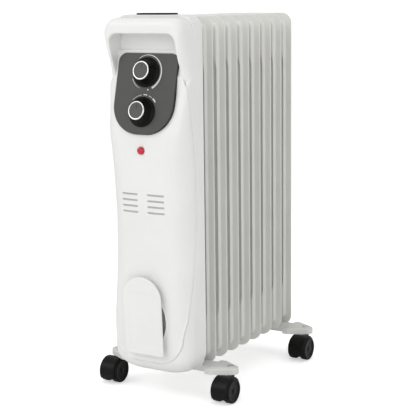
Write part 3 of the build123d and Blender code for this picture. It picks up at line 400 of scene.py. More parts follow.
HOOK_HALF, HOOK_LOW, HOOK_HIGH, HOOK_R, HOOK_THICK = 37.0, 82.0, 213.0, 5.0, 3.2
HOOK_SEAT, HOOK_STANDOFF, HOOK_TILT = 61.39, 10.0, math.radians(2.9)
THERMOSTAT_UP, SWITCH_UP, KNOB_TALL = 34.0, -29.5, 17.5
DISH_Z, DISH_HALF_X, DISH_HALF_Z, DISH_MEAN, DISH_FLOOR = 139.0, 39.0, 46.0, 42.0, 51.0
SLOT_X, SLOT_HALF, SLOT_R, SLOT_DEEP = 24.7, 13.8, 1.7, 2.2
SLOT_ROWS = (317.1, 326.7, 336.3, 345.9)
LAMP_Z, LAMP_SEAT_R, LAMP_DEEP, LENS_R = 417.0, 6.6, 1.6, 6.2
PANEL_HIGH_R, PANEL_LOW_R, PANEL_EDGE_R = 15.0, 48.0, 1.2
KNOB_GAP = 0.6
WEB_PLACES, WEB_HALF, WEB_TIP, OIL_SWELL = (-50.5, 0.0, 50.5), 7.5, 197.75, 5.0

# ---------------------------------------------------------------------------- surfaces from grids


def place(x, depth, z):
    """Points in metres from X, depth ahead of the first fin, and height."""
    x, depth, z = np.broadcast_arrays(x, depth, z)
    return np.stack([x, FIRST_FIN_Y - depth, z], axis=-1) * MM


def on_panel(x, up, out):
    """Points in metres from X, distance up the leaning panel and distance out of its face."""
    y = FIRST_FIN_Y - PANEL_MID_DEPTH + up * math.sin(LEAN) - out * math.cos(LEAN)
    z = PANEL_MID_Z + up * math.cos(LEAN) + out * math.sin(LEAN)
    x, y, z = np.broadcast_arrays(x, y, z)
    return np.stack([x, y, z], axis=-1) * MM


def cells(index, closed=False):
    """Quads between neighbouring rows and columns of a table of vertex numbers."""
    right = np.roll(index, -1, axis=1) if closed else index[:, 1:]
    left = index if closed else index[:, :-1]
    return np.stack([left[:-1], right[:-1], right[1:], left[1:]], axis=-1).reshape(-1, 4)


def build(name, points, faces, material, recess=None, crease=40.0):
    """Object from vertices in metres and faces: doubles merged, smooth but for edges sharper than crease."""
    mesh = bpy.data.meshes.new(name)
    mesh.from_pydata(points.reshape(-1, 3).tolist(), [], faces)
    # Optional per-point mask of painted shade, kept as a mesh attribute for the material.
    if recess is not None:
        layer = mesh.attributes.new("recess", "FLOAT", "POINT")
        layer.data.foreach_set("value", recess.reshape(-1).astype(np.float32))
    shape = bmesh.new()
    shape.from_mesh(mesh)
    bmesh.ops.remove_doubles(shape, verts=shape.verts, dist=0.000002)
    shape.to_mesh(mesh)
    shape.free()
    mesh.shade_smooth()
    mesh.set_sharp_from_angle(angle=math.radians(crease))
    mesh.materials.append(material)
    made = bpy.data.objects.new(name, mesh)
    bpy.context.scene.collection.objects.link(made)
    return made


def surface(name, grid, material, closed=False, caps=False, recess=None, crease=40.0):
    """Mesh of a grid of points: rows run up and columns run right when seen from outside."""
    index = np.arange(grid.shape[0] * grid.shape[1]).reshape(grid.shape[:2])
    faces = cells(index, closed).tolist()
    if caps:
        faces += [index[0, ::-1].tolist(), index[-1].tolist()]
    return build(name, grid, faces, material, recess, crease)


def walled(name, outer, inner, material, recess=None, crease=40.0):
    """Closed sheet: an outer grid, the same grid moved inward, and four borders between them."""
    count = outer.shape[0] * outer.shape[1]
    index = np.arange(count).reshape(outer.shape[:2])
    back = index + count
    border = [
        np.stack([back[0], index[0]]), np.stack([index[-1], back[-1]]),
        np.stack([index[:, 0], back[:, 0]]), np.stack([back[:, -1], index[:, -1]]),
    ]
    faces = [cells(index), cells(back)[:, ::-1]]
    faces += [cells(border[0]), cells(border[1]), cells(border[2])[:, ::1], cells(border[3])]
    both = None if recess is None else np.stack([recess, recess])
    return build(name, np.stack([outer, inner]), np.vstack(faces).tolist(), material, both, crease)


def lathe(name, profile, centre, frame_axes, material, steps=72, wave=None, crease=40.0):
    """Profile of (radius, height) turned about a frame's third axis; wave changes the radius round it."""
    turn = np.linspace(0.0, 2 * math.pi, steps, endpoint=False)
    radius, height = np.array(profile, float).T
    radius = radius[:, None] * np.ones(steps)
    if wave is not None:
        radius = radius + wave(radius, height[:, None], turn[None, :])
    across, upward, outward = (np.array(axis, float) for axis in frame_axes)
    grid = (
        np.array(centre, float)
        + radius[..., None] * (np.cos(turn)[None, :, None] * across + np.sin(turn)[None, :, None] * upward)
        + height[:, None, None] * outward
    )
    return surface(name, grid * MM, material, closed=True, crease=crease)


def eased(height, table, column=1, reach=8.0):
    """Table column at the given heights, averaged over nearby heights so that it turns without kinks."""
    offsets = np.linspace(-2.0, 2.0, 17)
    weights = np.exp(-0.5 * offsets**2)
    nearby = np.asarray(height, float)[..., None] + reach * offsets
    return (np.interp(nearby, table[:, 0], table[:, column]) * weights).sum(-1) / weights.sum()


def step(value, low, high):
    """Smooth rise from 0 at low to 1 at high."""
    share = np.clip((value - low) / (high - low), 0.0, 1.0)
    return share * share * (3.0 - 2.0 * share)


def bell(value, middle, width):
    """Smooth bump of height 1 round a middle."""
    return np.exp(-(((value - middle) / width) ** 2))


def plan_point(along, half, depth, corner):
    """X, depth and turn of a plan outline by distance from mid front: flat front, round corner, side."""
    distance = np.abs(along)
    flat = half - corner
    turn = np.clip((distance - flat) / corner, 0.0, math.pi / 2)
    x = np.where(distance < flat, distance, flat + corner * np.sin(turn))
    back = corner * (1.0 - np.cos(turn)) + np.maximum(distance - flat - corner * math.pi / 2, 0.0)
    return np.sign(along) * x, depth - back, turn


def moved_out(x, depth, turn, amount):
    """Point of a plan outline moved along its outward normal."""
    return x + np.sign(x) * np.sin(turn) * amount, depth + np.cos(turn) * amount


# ---------------------------------------------------------------------------- housing


def cover_edge(z):
    """Distance round the plan from mid front to the cover's edge: rim arc low down, side seam above."""
    depth, corner = eased(z, FRONT, 1), eased(z, FRONT, 2)
    flat = SHELL_HALF - corner
    arc_mid = RIM_LOW + RIM_CORNER
    low_rim = RIM_HALF - RIM_CORNER + np.sqrt(np.maximum(RIM_CORNER**2 - (arc_mid - z) ** 2, 0.0))
    reach = (RIM_HALF, SHELL_HALF, SHELL_HALF - 0.3, RIM_HALF)
    above = np.interp(z, (arc_mid, RIM_END, CUT_START, CUT_END), reach)
    rim = np.where(z < arc_mid, low_rim, above)
    bent = flat + corner * np.arcsin(np.clip((rim - flat) / corner, 0.0, 1.0))
    by_front = np.where(rim < flat, rim, bent)
    by_front = np.where((z > RIM_END) & (z < CUT_START), 1e6, by_front)
    seam = eased(z, SEAM, 1)
    straight = depth - corner - seam
    round_part = corner * np.arccos(np.clip(1.0 - (depth - seam) / corner, -1.0, 1.0))
    by_side = np.where(straight > 0.0, flat + corner * math.pi / 2 + straight, flat + round_part)
    return np.minimum(by_front, by_side)


def make_cover():
    """Front cover: plan outlines up its height, cut to a U-shaped edge, with a lip, dish and louvres."""
    arc = np.radians(np.linspace(0.0, 90.0, 30))
    z = np.concatenate([
        RIM_LOW + RIM_CORNER - RIM_CORNER * np.cos(arc),
        np.arange(112.7, 190.0, 1.2), np.arange(191.0, 312.0, 5.5), np.arange(313.0, 350.5, 0.6),
        np.arange(352.0, 408.0, 5.0), np.arange(408.0, 426.0, 1.2), np.arange(428.0, 530.0, 4.0),
        [531.0, 532.8, COVER_TOP],
    ])
    edge = cover_edge(z)[:, None]
    share = np.linspace(-1.0, 1.0, 151)[None, :]
    middle = np.minimum(46.0, 0.62 * edge)
    inner_share = 0.56
    outer_part = middle + (np.abs(share) - inner_share) / (1.0 - inner_share) * (edge - middle)
    along = np.where(np.abs(share) < inner_share, share / inner_share * middle, np.sign(share) * outer_part)
    height = z[:, None]
    depth, corner = eased(z, FRONT, 1)[:, None], eased(z, FRONT, 2)[:, None]
    x, back, turn = plan_point(along, SHELL_HALF, depth, corner)
    line_z = np.linspace(RIM_LOW, 240.0, 240)
    line_s = cover_edge(line_z)
    bottom_line = np.column_stack([np.linspace(0.0, line_s[0], 12), np.full(12, RIM_LOW)])
    rim_line = np.vstack([bottom_line, np.column_stack([line_s, line_z])])
    rise = np.broadcast_to(height, along.shape)[..., None] - rim_line[:, 1]
    gaps = np.hypot(np.abs(along)[..., None] - rim_line[:, 0], rise)
    to_edge = np.minimum(gaps.min(-1), edge - np.abs(along) + 0.0 * height)
    fade = 0.15 + 0.85 * (1.0 - step(height, 110.0, 190.0))
    lip = 1.5 * fade * bell(to_edge, 2.6, 2.1)
    groove = 0.5 * fade * bell(to_edge, 0.0, 0.8)
    raised = lip - groove - 0.25 * bell(to_edge, 0.0, 0.6)
    radial = np.hypot(x / DISH_HALF_X, (height - DISH_Z) / DISH_HALF_Z)
    from_dish = (radial - 1.0) * DISH_MEAN
    in_dish = 1.0 - step(from_dish, -2.6, -0.2)
    raised = raised + 1.2 * bell(from_dish, 1.0, 1.5) - (depth - DISH_FLOOR) * in_dish
    slots = np.zeros_like(along)
    for row in SLOT_ROWS:
        beside = np.maximum(np.abs(np.abs(x) - SLOT_X) - SLOT_HALF, 0.0)
        away = np.hypot(beside, height - row) - SLOT_R
        slots = np.maximum(slots, 1.0 - step(away, -0.9, 0.25))
    lamp_away = np.hypot(x, height - LAMP_Z) - LAMP_SEAT_R
    lamp_seat = 1.0 - step(lamp_away, -0.8, 0.4)
    raised = raised - SLOT_DEEP * slots - LAMP_DEEP * lamp_seat
    out_x, out_depth = moved_out(x, back, turn, raised)
    in_x, in_depth = moved_out(x, back, turn, raised - WALL)
    # Painted shade: the dish, the louvre slots and the lamp seat are darkened in colour as if in shadow.
    recess = np.clip(0.55 * in_dish + 0.45 * slots + 0.6 * lamp_seat, 0.0, 1.0)
    outer = place(out_x, out_depth, height)
    inner = place(in_x, in_depth, height)
    cover = walled("front_cover_skin", outer, inner, HOUSING, recess, 50.0)
    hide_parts("front_cover")
    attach(cover, "frame")


def make_rear_shell():
    """Rear shell: plan outlines rounded in at chin and crown, sunk behind the cover, open at the back."""
    chin, crown = np.radians(np.linspace(0.0, 90.0, 22)), np.radians(np.linspace(0.0, 90.0, 16))
    bowl = 31.0
    z = np.concatenate([
        SHELL_LOW + bowl * (1.0 - np.cos(chin)), np.arange(73.0, 112.0, 1.6), np.arange(113.0, 200.0, 3.5),
        np.arange(204.0, 515.0, 9.0), np.arange(516.0, 560.0, 2.0), np.arange(562.0, 606.0, 9.0),
        SHELL_HIGH - SHELL_CORNER + SHELL_CORNER * np.sin(crown),
    ])
    z = np.sort(np.concatenate([z, [RIM_LOW - 0.3, RIM_LOW + 0.1]]))
    low_turn = np.sqrt(np.maximum(LOW_CORNER**2 - np.maximum(SHELL_LOW + LOW_CORNER - z, 0.0) ** 2, 0.0))
    over = np.maximum(z - SHELL_HIGH + SHELL_CORNER, 0.0)
    high_turn = np.sqrt(np.maximum(SHELL_CORNER**2 - over**2, 0.0))
    half = (SHELL_HALF - SHELL_CORNER - LOW_CORNER + low_turn + high_turn)[:, None]
    chin_turn = bowl - np.sqrt(np.maximum(bowl**2 - np.maximum(SHELL_LOW + bowl - z, 0.0) ** 2, 0.0))
    to_joint = step(z, 516.0, 545.0)
    front = (eased(z, FRONT, 1) - chin_turn) * (1.0 - to_joint) + JOINT_DEPTH * to_joint
    corner = np.clip(eased(z, FRONT, 2) * (1.0 - to_joint) + 1.5 * to_joint, 1.5, None)[:, None]
    front = front[:, None]
    flat = half - corner
    limit = flat + corner * math.pi / 2 + front - corner - SHELL_REAR
    above = np.where(z > COVER_TOP, RIM_HALF, cover_edge(z))
    covered = np.where(z < RIM_LOW, RIM_HALF - RIM_CORNER, above)[:, None]
    covered = np.minimum(covered, limit - 3.0)
    hidden = np.linspace(0.0, 1.0, 14)
    shown = np.linspace(0.0, 1.0, 40) ** 0.8
    behind = (covered - 0.5) * hidden
    beside = (covered + 0.25) + (limit - covered - 0.25) * shown
    side = np.concatenate([behind, beside], axis=1)
    along = np.concatenate([-side[:, :0:-1], side], axis=1)
    height = z[:, None]
    x, back, turn = plan_point(along, half, front, corner)
    sunk = (np.abs(along) < covered) & (height > RIM_LOW) & (height < COVER_TOP - 1.0)
    out_x, out_depth = moved_out(x, back, turn, np.where(sunk, -BEHIND_COVER, 0.0))
    in_x, in_depth = moved_out(x, back, turn, np.where(sunk, -BEHIND_COVER - WALL, -WALL))
    in_depth = np.where(back < SHELL_REAR + 0.01, SHELL_REAR, in_depth)
    squeeze = np.array([0.0, 0.5])[:, None]
    outer = place(out_x, out_depth, height)
    inner = place(in_x, in_depth, np.clip(height, SHELL_LOW + WALL, SHELL_HIGH - WALL))
    grids = []
    for grid in (outer, inner):
        low = np.repeat(grid[:1], 2, axis=0)
        low[..., 0] *= squeeze
        high = np.repeat(grid[-1:], 2, axis=0)
        high[..., 0] *= squeeze[::-1]
        grids.append(np.concatenate([low, grid, high]))
    shell = walled("rear_shell_skin", grids[0], grids[1], HOUSING, None, 45.0)
    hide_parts("rear_shell")
    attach(shell, "frame")


def make_handle():
    """Carry handle: a rounded section run up one arm, across the bar and down the other, and a ledge."""
    rise = np.linspace(0.0, 1.0, 34)
    bend = np.radians(np.linspace(0.0, 90.0, 20))
    run = np.linspace(1.0, 0.0, 13)

    def half_loop(half, top, r):
        """X and height up an arm, round its corner and in to mid bar."""
        x = [np.full(34, half), half - r + r * np.cos(bend[1:]), (half - r) * run[1:]]
        z = [ARM_LOW + (top - r - ARM_LOW) * rise, top - r + r * np.sin(bend[1:]), np.full(12, top)]
        return np.concatenate(x), np.concatenate(z)

    inner_x, inner_z = half_loop(OPENING_HALF, OPENING_TOP, OPENING_R)
    outer_x, outer_z = half_loop(SHELL_HALF, BAR_TOP, BAR_R)
    outer_x = outer_x - 0.3 * (1.0 - step(outer_z, 525.0, 550.0))
    bar_part = np.concatenate([np.zeros(34), step(bend[1:], 0.35, 1.45), np.ones(12)])
    inner_x, inner_z, outer_x, outer_z, bar_part = (
        np.concatenate([line, sign * line[-2::-1]])
        for line, sign in ((inner_x, -1), (inner_z, 1), (outer_x, -1), (outer_z, 1), (bar_part, 1))
    )
    rear = JOINT_DEPTH + 0.15 + 20.0 * bar_part
    front = eased(inner_z, ARM, 1, 5.0)
    width = np.hypot(outer_x - inner_x, outer_z - inner_z)
    length = front - rear
    quarter = np.radians(np.linspace(0.0, 90.0, 9))
    arm_turn, bar_turn = 19.0, 11.0
    big_across = np.minimum(12.6, 0.93 * width)
    big_deep = np.minimum(arm_turn * (1.0 - bar_part) + bar_turn * bar_part, 0.9 * length)
    small = np.minimum(3.5, 0.2 * length)
    tiny = 0.5 + 3.0 * bar_part

    def arc(centre_across, centre_deep, across, deep, start):
        """Quarter ellipse of the section, from a start angle, at every station of the run."""
        angle = quarter + start
        x = centre_across[:, None] + across[:, None] * np.cos(angle)
        return x, centre_deep[:, None] + deep[:, None] * np.sin(angle)

    parts = [
        arc(tiny, tiny, tiny, tiny, math.pi),
        arc(width - tiny, tiny, tiny, tiny, 1.5 * math.pi),
        arc(width - big_across, length - big_deep, big_across, big_deep, 0.0),
        arc(small, length - small, small, small, 0.5 * math.pi),
    ]
    across = np.concatenate([part[0] for part in parts], axis=1)
    deep = np.concatenate([part[1] for part in parts], axis=1)
    share = across / width[:, None]
    x = inner_x[:, None] + (outer_x - inner_x)[:, None] * share
    z = inner_z[:, None] + (outer_z - inner_z)[:, None] * share
    crown = step(outer_z, 606.0, BAR_TOP)[:, None] * share * (1.0 - step(rear[:, None] + deep, 25.0, 56.0))
    z = z + 4.6 * crown
    grid = place(x, rear[:, None] + deep, z)
    handle = surface("carry_handle_skin", grid, HOUSING, closed=True, caps=True, crease=50.0)
    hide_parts("carry_handle")
    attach(handle, "frame")
    ledge_high, ledge_low, sunk = 574.0, 525.0, 4.5
    seat_high = PANEL_MID_DEPTH - (ledge_high - PANEL_MID_Z) * math.tan(LEAN) - sunk
    seat_low = PANEL_MID_DEPTH - (ledge_low - PANEL_MID_Z) * math.tan(LEAN) - sunk
    nose = np.radians(np.linspace(0.0, 90.0, 8))
    back = JOINT_DEPTH + 0.1
    line_depth = np.concatenate([[back, back, seat_low], seat_high - 2.0 + 2.0 * np.cos(nose)])
    line_z = np.concatenate([[ledge_high - 0.1, ledge_low, ledge_low], ledge_high - 2.0 + 2.0 * np.sin(nose)])
    ledge_x = np.linspace(-OPENING_HALF - 0.3, OPENING_HALF + 0.3, 25)
    grid = place(ledge_x[:, None], line_depth[None, :], line_z[None, :])
    ledge = surface("handle_ledge", grid[:, ::-1], HOUSING, closed=True, caps=True)
    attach(ledge, "frame")


def rounded_outline(half_width, half_height, high_corner, low_corner, steps=14):
    """Outline of a plate, anticlockwise from its right: four straight sides and four quarter circles."""
    quarter = np.radians(np.linspace(0.0, 90.0, steps))
    corners = [
        (half_width - high_corner, half_height - high_corner, high_corner, 0.0),
        (-half_width + high_corner, half_height - high_corner, high_corner, 90.0),
        (-half_width + low_corner, -half_height + low_corner, low_corner, 180.0),
        (half_width - low_corner, -half_height + low_corner, low_corner, 270.0),
    ]
    x = [cx + r * np.cos(quarter + math.radians(start)) for cx, cy, r, start in corners]
    y = [cy + r * np.sin(quarter + math.radians(start)) for cx, cy, r, start in corners]
    return np.concatenate(x), np.concatenate(y)


def make_panel():
    """Control panel: outlines of one plate stacked from its back, round its edge and in to its middle."""
    turn = np.radians(np.linspace(0.0, 90.0, 7))
    r = PANEL_EDGE_R
    inset = np.concatenate([[0.0, 0.0], r * (1.0 - np.cos(turn))[1:], [3.0, 8.0]])
    out = np.concatenate([[PANEL_BACK, -r], -r + r * np.sin(turn)[1:], [0.0, 0.0]])
    rings = [
        rounded_outline(PANEL_HALF_X - i, PANEL_HALF_UP - i, PANEL_HIGH_R - i, PANEL_LOW_R - i)
        for i in inset
    ]
    x = np.array([ring[0] for ring in rings] + [rings[-1][0] * s for s in (0.6, 0.3, 0.0)])
    up = np.array([ring[1] for ring in rings] + [rings[-1][1] * s for s in (0.6, 0.3, 0.0)])
    out = np.concatenate([out, [0.0, 0.0, 0.0]])[:, None]
    x = np.vstack([np.zeros_like(x[:1]), x])
    up = np.vstack([np.zeros_like(up[:1]), up])
    out = np.vstack([[PANEL_BACK], out])
    # Painted shade: the plate's side behind its face is coloured near black, as a shadow gap.
    side = np.clip(1.0 - (out + 1.0) / 0.9, 0.0, 1.0) * np.ones_like(x)
    panel = surface("control_panel_plate", on_panel(x, up, out), PANEL, closed=True, recess=side)
    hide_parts("control_panel")
    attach(panel, "frame")


def make_scale(name, up, bands):
    """Printed dial scale: bands, each an arc between two angles, with a first and a last width."""
    for number, (start, end, radius, first, last) in enumerate(bands):
        angle = np.radians(np.linspace(start, end, 48))
        half = np.linspace(first, last, 48) / 2
        ring = np.stack([radius - half, radius - half, radius + half, radius + half])
        out = np.array([0.02, 0.14, 0.14, 0.02])[:, None]
        grid = on_panel(ring * np.cos(angle), up + ring * np.sin(angle), out)
        band = surface(f"{name}_{number + 1}", np.swapaxes(grid, 0, 1), PRINT, closed=True, caps=True)
        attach(band, "frame")


AXIS_OUT = (0.0, -math.cos(LEAN), math.sin(LEAN))
PANEL_AXES = ((1.0, 0.0, 0.0), (0.0, math.sin(LEAN), math.cos(LEAN)), AXIS_OUT)


def make_dial(body, label, up, height):
    """Dial: a tapered fluted knob on a wide skirt, a rounded bright ring on top and a cap sunk inside it."""
    centre = on_panel(0.0, np.float64(up), KNOB_GAP) / MM
    top = height - 2.0

    def flutes(radius, level, turn):
        """Shallow finger grips round the tapered part, fading out at both ends."""
        zone = step(level, 5.0, 8.0) * (1.0 - step(level, top - 3.0, top - 0.5)) * (radius > 10.0)
        return -0.45 * zone * (0.5 - 0.5 * np.cos(24.0 * turn))

    edge = [(0.0, 0.0), (23.4, 0.0), (24.0, 0.5), (24.0, 1.7), (23.5, 2.2), (20.6, 2.9), (19.6, 4.2)]
    taper = [(19.5 - 4.4 * s, 4.8 + (top - 5.6) * s) for s in np.linspace(0.0, 1.0, 16)]
    line = edge + taper + [(14.6, top), (0.0, top)]
    knob = lathe(f"{label}_knob_skin", line, centre, PANEL_AXES, BLACK, 144, flutes)
    ring_line = [
        (12.5, top - 0.2), (14.6, top - 0.2), (15.0, top + 0.3), (15.0, top + 1.2), (14.7, top + 1.75),
        (14.1, top + 2.0), (13.4, top + 2.0), (12.8, top + 1.8), (12.5, top + 1.3), (12.5, top - 0.2),
    ]
    ring = lathe(f"{label}_ring_skin", ring_line, centre, PANEL_AXES, BRIGHT, 96)
    cap_line = [
        (0.0, top - 0.2), (12.45, top - 0.2), (12.45, top + 1.0), (12.0, top + 1.25), (11.2, top + 1.2),
        (0.0, top + 0.9),
    ]
    cap = lathe(f"{label}_cap_skin", cap_line, centre, PANEL_AXES, CAP, 72)
    reach = np.array([4.5, 4.6, 11.3, 11.4])[:, None]
    across = np.array([-0.55, -0.45, 0.45, 0.55])[None, :]
    lift = np.array([0.0, 0.55, 0.55, 0.0])
    high = top + 1.15 + np.minimum(lift[:, None], lift[None, :])
    mark = surface(f"{label}_pointer", on_panel(across, up + reach, KNOB_GAP + high), CAP, closed=False)
    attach(mark, body)
    pieces = ((knob, "knob", "black_plastic"), (ring, "ring", "bright_ring"), (cap, "cap", "cap_grey"))
    for piece, node, slot in pieces:
        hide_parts(f"{label}_{node}")
        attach(piece, body)


def make_lens():
    """Indicator lens: half an ellipse turned about the level line out of the cover."""
    turn = np.radians(np.linspace(0.0, 90.0, 12))
    front = eased(np.float64(LAMP_Z), FRONT, 1)
    dome = [(LENS_R * math.cos(t), front + 0.4 + 5.0 * math.sin(t)) for t in turn]
    line = [(0.0, front - 4.0), (LENS_R, front - 4.0)] + dome
    axes = ((1.0, 0.0, 0.0), (0.0, 0.0, 1.0), (0.0, -1.0, 0.0))
    lens = lathe("indicator_lens_skin", line, (0.0, FIRST_FIN_Y, LAMP_Z), axes, LENS, 48)
    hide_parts("indicator_lens")
    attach(lens, "frame")


def make_hook():
    """Cord hook: an arched plate, its face a height map over its outline, on a neck of one long section."""
    half, low, arch_z, r = HOOK_HALF, HOOK_LOW, HOOK_HIGH - HOOK_HALF, HOOK_R
    foot = np.radians(np.linspace(0.0, 90.0, 8))
    arch = np.radians(np.linspace(0.0, 90.0, 34))
    straight = np.arange(low + r + 1.5, arch_z, 1.5)
    v = np.concatenate([low + r * (1.0 - np.cos(foot)), straight, arch_z + half * np.sin(arch)])
    low_turn = r - np.sqrt(np.maximum(r**2 - np.maximum(low + r - v, 0.0) ** 2, 0.0))
    arch_half = np.sqrt(np.maximum(half**2 - np.maximum(v - arch_z, 0.0) ** 2, 0.0))
    width = np.minimum(arch_half, half - low_turn)[:, None]
    share = np.sin(np.radians(np.linspace(-90.0, 90.0, 81)))[None, :]
    x = width * share
    height = v[:, None] + 0.0 * x
    corner_gap = np.hypot(np.abs(x) - (half - r), height - low - r)
    in_corner = (np.abs(x) > half - r) & (height < low + r)
    to_edge = np.minimum(half - np.abs(x), height - low)
    to_edge = np.where(in_corner, r - corner_gap, to_edge)
    to_edge = np.where(height > arch_z, np.minimum(to_edge, half - np.hypot(x, height - arch_z)), to_edge)
    to_edge = np.clip(to_edge, 0.0, None)
    edge_r = 1.5
    rounding = edge_r - np.sqrt(np.maximum(edge_r**2 - np.maximum(edge_r - to_edge, 0.0) ** 2, 0.0))
    field_half_x, field_half_z, field_mid_z = 19.0, 40.0, 141.0
    inset_x = np.abs(x) - field_half_x
    inset_z = np.abs(height - field_mid_z) - field_half_z
    outside = np.hypot(np.maximum(inset_x, 0.0), np.maximum(inset_z, 0.0))
    outline = outside + np.minimum(np.maximum(inset_x, inset_z), 0.0) - r
    pressed = 0.55 * (1.0 - step(outline, -0.9, 0.9))
    mid_depth = HOOK_SEAT + HOOK_STANDOFF
    lean_out = (height - (HOOK_LOW + HOOK_HIGH) / 2) * math.tan(HOOK_TILT)
    depth = mid_depth + lean_out + 0.8 * (1.0 - (x / half) ** 2) - rounding - pressed
    back = mid_depth + lean_out - HOOK_THICK + 0.4 * rounding
    plate = walled("cord_hook_plate", place(x, depth, height), place(x, back, height), HOUSING, None, 50.0)
    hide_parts("cord_hook")
    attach(plate, "frame")
    neck_x, neck_z = rounded_outline(22.0, 39.0, 21.9, 21.9, 16)
    levels = np.array([DISH_FLOOR - 1.0, DISH_FLOOR + 1.0, DISH_FLOOR + 3.0, 69.0])[:, None]
    flare = np.array([1.12, 1.04, 1.0, 1.0])[:, None]
    grid = place(neck_x * flare, levels, DISH_Z + neck_z * flare)
    neck = surface("cord_hook_neck", grid, HOUSING, closed=True, caps=True, crease=60.0)
    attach(neck, "frame")


# ---------------------------------------------------------------------------- fins


def make_fins():
    """Fins: two height maps over one outline, flat at the seam, swollen at oil ways, sunk at webs."""
    turn = np.radians(np.linspace(0.0, 90.0, 11))
    low = FIN_LOW + FIN_CORNER * (1.0 - np.cos(turn))
    ends = np.array([70.5, 73.0, 76.0, 80.0, 90.0, 104.0, 116.0, 120.0, 126.0, 132.0, 138.0, 144.0, 150.0])
    z = np.concatenate([low, ends])
    z = np.concatenate([z, np.linspace(170.0, 504.5, 9), (FIN_LOW + FIN_HIGH - z)[::-1]])
    middle = (FIN_LOW + FIN_HIGH) / 2
    from_end = np.abs(z - middle) - (middle - FIN_LOW - FIN_CORNER)
    turn_in = np.sqrt(np.maximum(FIN_CORNER**2 - np.maximum(from_end, 0.0) ** 2, 0.0))
    width = FIN_HALF_WIDTH - FIN_CORNER + turn_in
    half = np.array([
        0.0, 3.5, 6.0, 8.0, 11.0, 20.0, 30.0, 40.0, 43.0, 45.0, 47.5, 50.5, 53.5, 56.0, 57.5, 58.5,
        59.5, 60.5, 61.5, 62.5, 63.8, 66.0, 69.0, 71.2, 72.0, FIN_HALF_WIDTH,
    ]) / FIN_HALF_WIDTH
    share = np.concatenate([-half[:0:-1], half])[None, :]
    x = width[:, None] * share
    height = z[:, None] + 0.0 * x
    r, flange = 12.0, 10.5
    straight_x, straight_z = FIN_HALF_WIDTH - flange - r, (FIN_HIGH - FIN_LOW) / 2 - flange - r
    over_x, over_z = np.abs(x) - straight_x, np.abs(height - middle) - straight_z
    beyond = np.hypot(np.maximum(over_x, 0.0), np.maximum(over_z, 0.0))
    from_oil = beyond + np.minimum(np.maximum(over_x, over_z), 0.0) - r
    swell = 1.0 - step(from_oil, -4.2, 0.6)
    for web_x in WEB_PLACES:
        tip = np.maximum(np.abs(height - middle) - WEB_TIP, 0.0)
        from_web = np.hypot(x - web_x, 0.5 * tip) - WEB_HALF
        swell = swell * step(from_web, -2.6, 1.2)
    outer_gap = np.minimum(FIN_HALF_WIDTH - np.abs(x), middle - FIN_LOW - np.abs(height - middle))
    seam = 1.0 - 0.45 * (1.0 - step(np.abs(outer_gap), 0.0, 0.9))
    swollen = seam + OIL_SWELL * swell
    # Painted shade: a darker line along the foot of each oil way swell.
    shade = 0.35 * bell(from_oil, 0.4, 0.9)
    for index in range(9):
        depth = -index * FIN_PITCH
        name = f"fin_{index + 1}"
        front, rear = place(x, depth + swollen, height), place(x, depth - swollen, height)
        fin = walled(f"{name}_skin", front, rear, ENAMEL, shade, 35.0)
        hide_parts(name)
        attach(fin, "frame")


# ---------------------------------------------------------------------------- casters


def make_wheels():
    """Caster wheels: one rounded tread profile with a sunk ring and a raised hub on each face, about X."""
    rim = np.radians(np.linspace(0.0, 90.0, 6))
    hub = [(0.0, 5.7), (3.4, 5.7), (4.2, 5.4), (4.6, 4.7)]
    face = hub + [(14.2, 4.6), (15.0, 4.9), (15.6, 5.7), (16.2, 6.0)]
    edge = [(18.0 + 2.5 * math.sin(t), 3.5 + 2.5 * math.cos(t)) for t in rim]
    upper = face + edge
    groove = [(20.45, -1.0), (20.3, -0.6), (20.3, 0.6), (20.45, 1.0)]
    line = [(r, -h) for r, h in upper] + groove + upper[::-1]
    axes = ((0.0, 1.0, 0.0), (0.0, 0.0, 1.0), (1.0, 0.0, 0.0))
    for name in sorted(frame["nodes"]):
        if "_wheel_" not in name:
            continue
        low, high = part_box(name)
        centre = [500.0 * (low[i] + high[i]) for i in range(3)]
        wheel = lathe(f"{name}_skin", line, centre, axes, CASTER, 64)
        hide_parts(name)
        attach(wheel, name)


make_cover()
make_rear_shell()
make_handle()
make_panel()
make_scale("thermostat_scale", THERMOSTAT_UP, [
    (128.0, 60.0, 27.8, 0.7, 1.3), (60.0, -62.0, 27.8, 1.3, 3.2), (203.0, 248.0, 27.6, 0.9, 0.5),
    (-76.0, -80.0, 28.4, 2.2, 2.2),
])
make_scale("switch_scale", SWITCH_UP, [
    (138.0, 100.0, 27.6, 0.5, 0.8), (92.0, 78.0, 27.8, 1.5, 1.5), (70.0, 58.0, 27.8, 0.8, 0.8),
    (52.0, 36.0, 28.0, 2.2, 2.2),
])
make_dial("thermostat_dial", "thermostat", THERMOSTAT_UP, KNOB_TALL)
make_dial("switch_dial", "switch", SWITCH_UP, KNOB_TALL)
make_lens()
make_hook()
make_fins()
make_wheels()

# ---------------------------------------------------------------------------- floor, light and camera


def make_floor():
    """Pale floor that rises behind in one smooth sweep: flat, then a quarter circle, then upright."""
    across = np.linspace(-16.0, 16.0, 9)
    flat = np.column_stack([np.linspace(-16.0, 2.5, 8), np.zeros(8)])
    turn = np.linspace(0.15, math.pi / 2, 12)
    bend = np.column_stack([2.5 + 1.5 * np.sin(turn), 1.5 - 1.5 * np.cos(turn)])
    wall = np.column_stack([np.full(4, 4.0), np.linspace(2.2, 5.5, 4)])
    line = np.vstack([flat, bend, wall])
    grid = np.empty((len(line), len(across), 3))
    grid[..., 0] = across[None, :]
    grid[..., 1] = line[:, :1]
    grid[..., 2] = line[:, 1:]
    floor = surface("floor", grid, FLOOR)


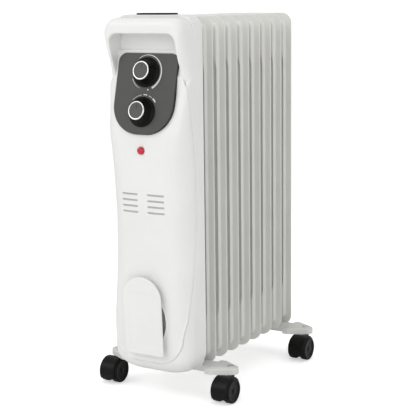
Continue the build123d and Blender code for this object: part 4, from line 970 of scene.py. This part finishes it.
def add_light(name, place, target, size, power):
    """Soft square light at a place, turned toward a target."""
    data = bpy.data.lights.new(name, "AREA")
    data.shape = "RECTANGLE"
    data.size, data.size_y = size
    data.energy = power
    light = bpy.data.objects.new(name, data)
    bpy.context.scene.collection.objects.link(light)
    away = np.array(place, float) - np.array(target, float)
    away /= np.linalg.norm(away)
    side = np.cross((0.0, 0.0, 1.0), away)
    side /= np.linalg.norm(side)
    turned = Matrix(np.column_stack([side, np.cross(away, side), away]).tolist()).to_4x4()
    turned.translation = place
    light.matrix_world = turned


def add_camera():
    """Camera to the front right of the heater, a little above its top, looking slightly down."""
    yaw, pitch, roll = math.radians(31.49), math.radians(10.12), math.radians(-0.69)
    ahead = np.array([-math.sin(yaw) * math.cos(pitch), math.cos(yaw) * math.cos(pitch), -math.sin(pitch)])
    right = np.array([math.cos(yaw), math.sin(yaw), 0.0])
    up = np.cross(right, ahead)
    turned_right = math.cos(roll) * right + math.sin(roll) * up
    turned_up = -math.sin(roll) * right + math.cos(roll) * up
    data = bpy.data.cameras.new("camera")
    data.sensor_width = 36.0
    data.lens = 103.75
    camera = bpy.data.objects.new("camera", data)
    bpy.context.scene.collection.objects.link(camera)
    pose = Matrix(np.column_stack([turned_right, turned_up, -ahead]).tolist()).to_4x4()
    pose.translation = (1.0719, -1.7361, 0.6602)
    camera.matrix_world = pose
    bpy.context.scene.camera = camera


FLOOR = finish_material(
    "Pale floor", (0.90, 0.90, 0.90), (0.89, 0.89, 0.89), (0.90, 0.90, 0.90),
    0.75, 0.05, 40.0, 0.00005,
    dust=0.0, wear=0.0,
)
shader = FLOOR.node_tree.nodes["Principled BSDF"]
shader.inputs["Emission Color"].default_value = (1.0, 1.0, 1.0, 1.0)
path = FLOOR.node_tree.nodes.new("ShaderNodeLightPath")
glow = math_node(FLOOR.node_tree, "MULTIPLY", path.outputs["Is Camera Ray"], 0.46)
FLOOR.node_tree.links.new(glow, shader.inputs["Emission Strength"])
make_floor()
world = bpy.data.worlds.new("studio")
bpy.context.scene.world = world
world.use_nodes = True
world.node_tree.nodes["Background"].inputs["Color"].default_value = (1.0, 1.0, 1.0, 1.0)
world.node_tree.nodes["Background"].inputs["Strength"].default_value = 0.62
add_light("key", (-1.6, -2.6, 2.2), (0.0, 0.0, 0.35), (2.4, 2.0), 34.0)
add_light("front fill", (1.8, -2.9, 1.0), (0.0, 0.0, 0.3), (1.6, 1.6), 20.0)
add_light("side", (3.2, -0.5, 1.0), (0.0, 0.1, 0.35), (1.6, 1.6), 7.0)
add_light("top", (0.2, 0.2, 2.8), (0.0, 0.0, 0.3), (2.6, 2.6), 16.0)
bpy.context.scene.view_settings.view_transform = "Standard"
add_camera()
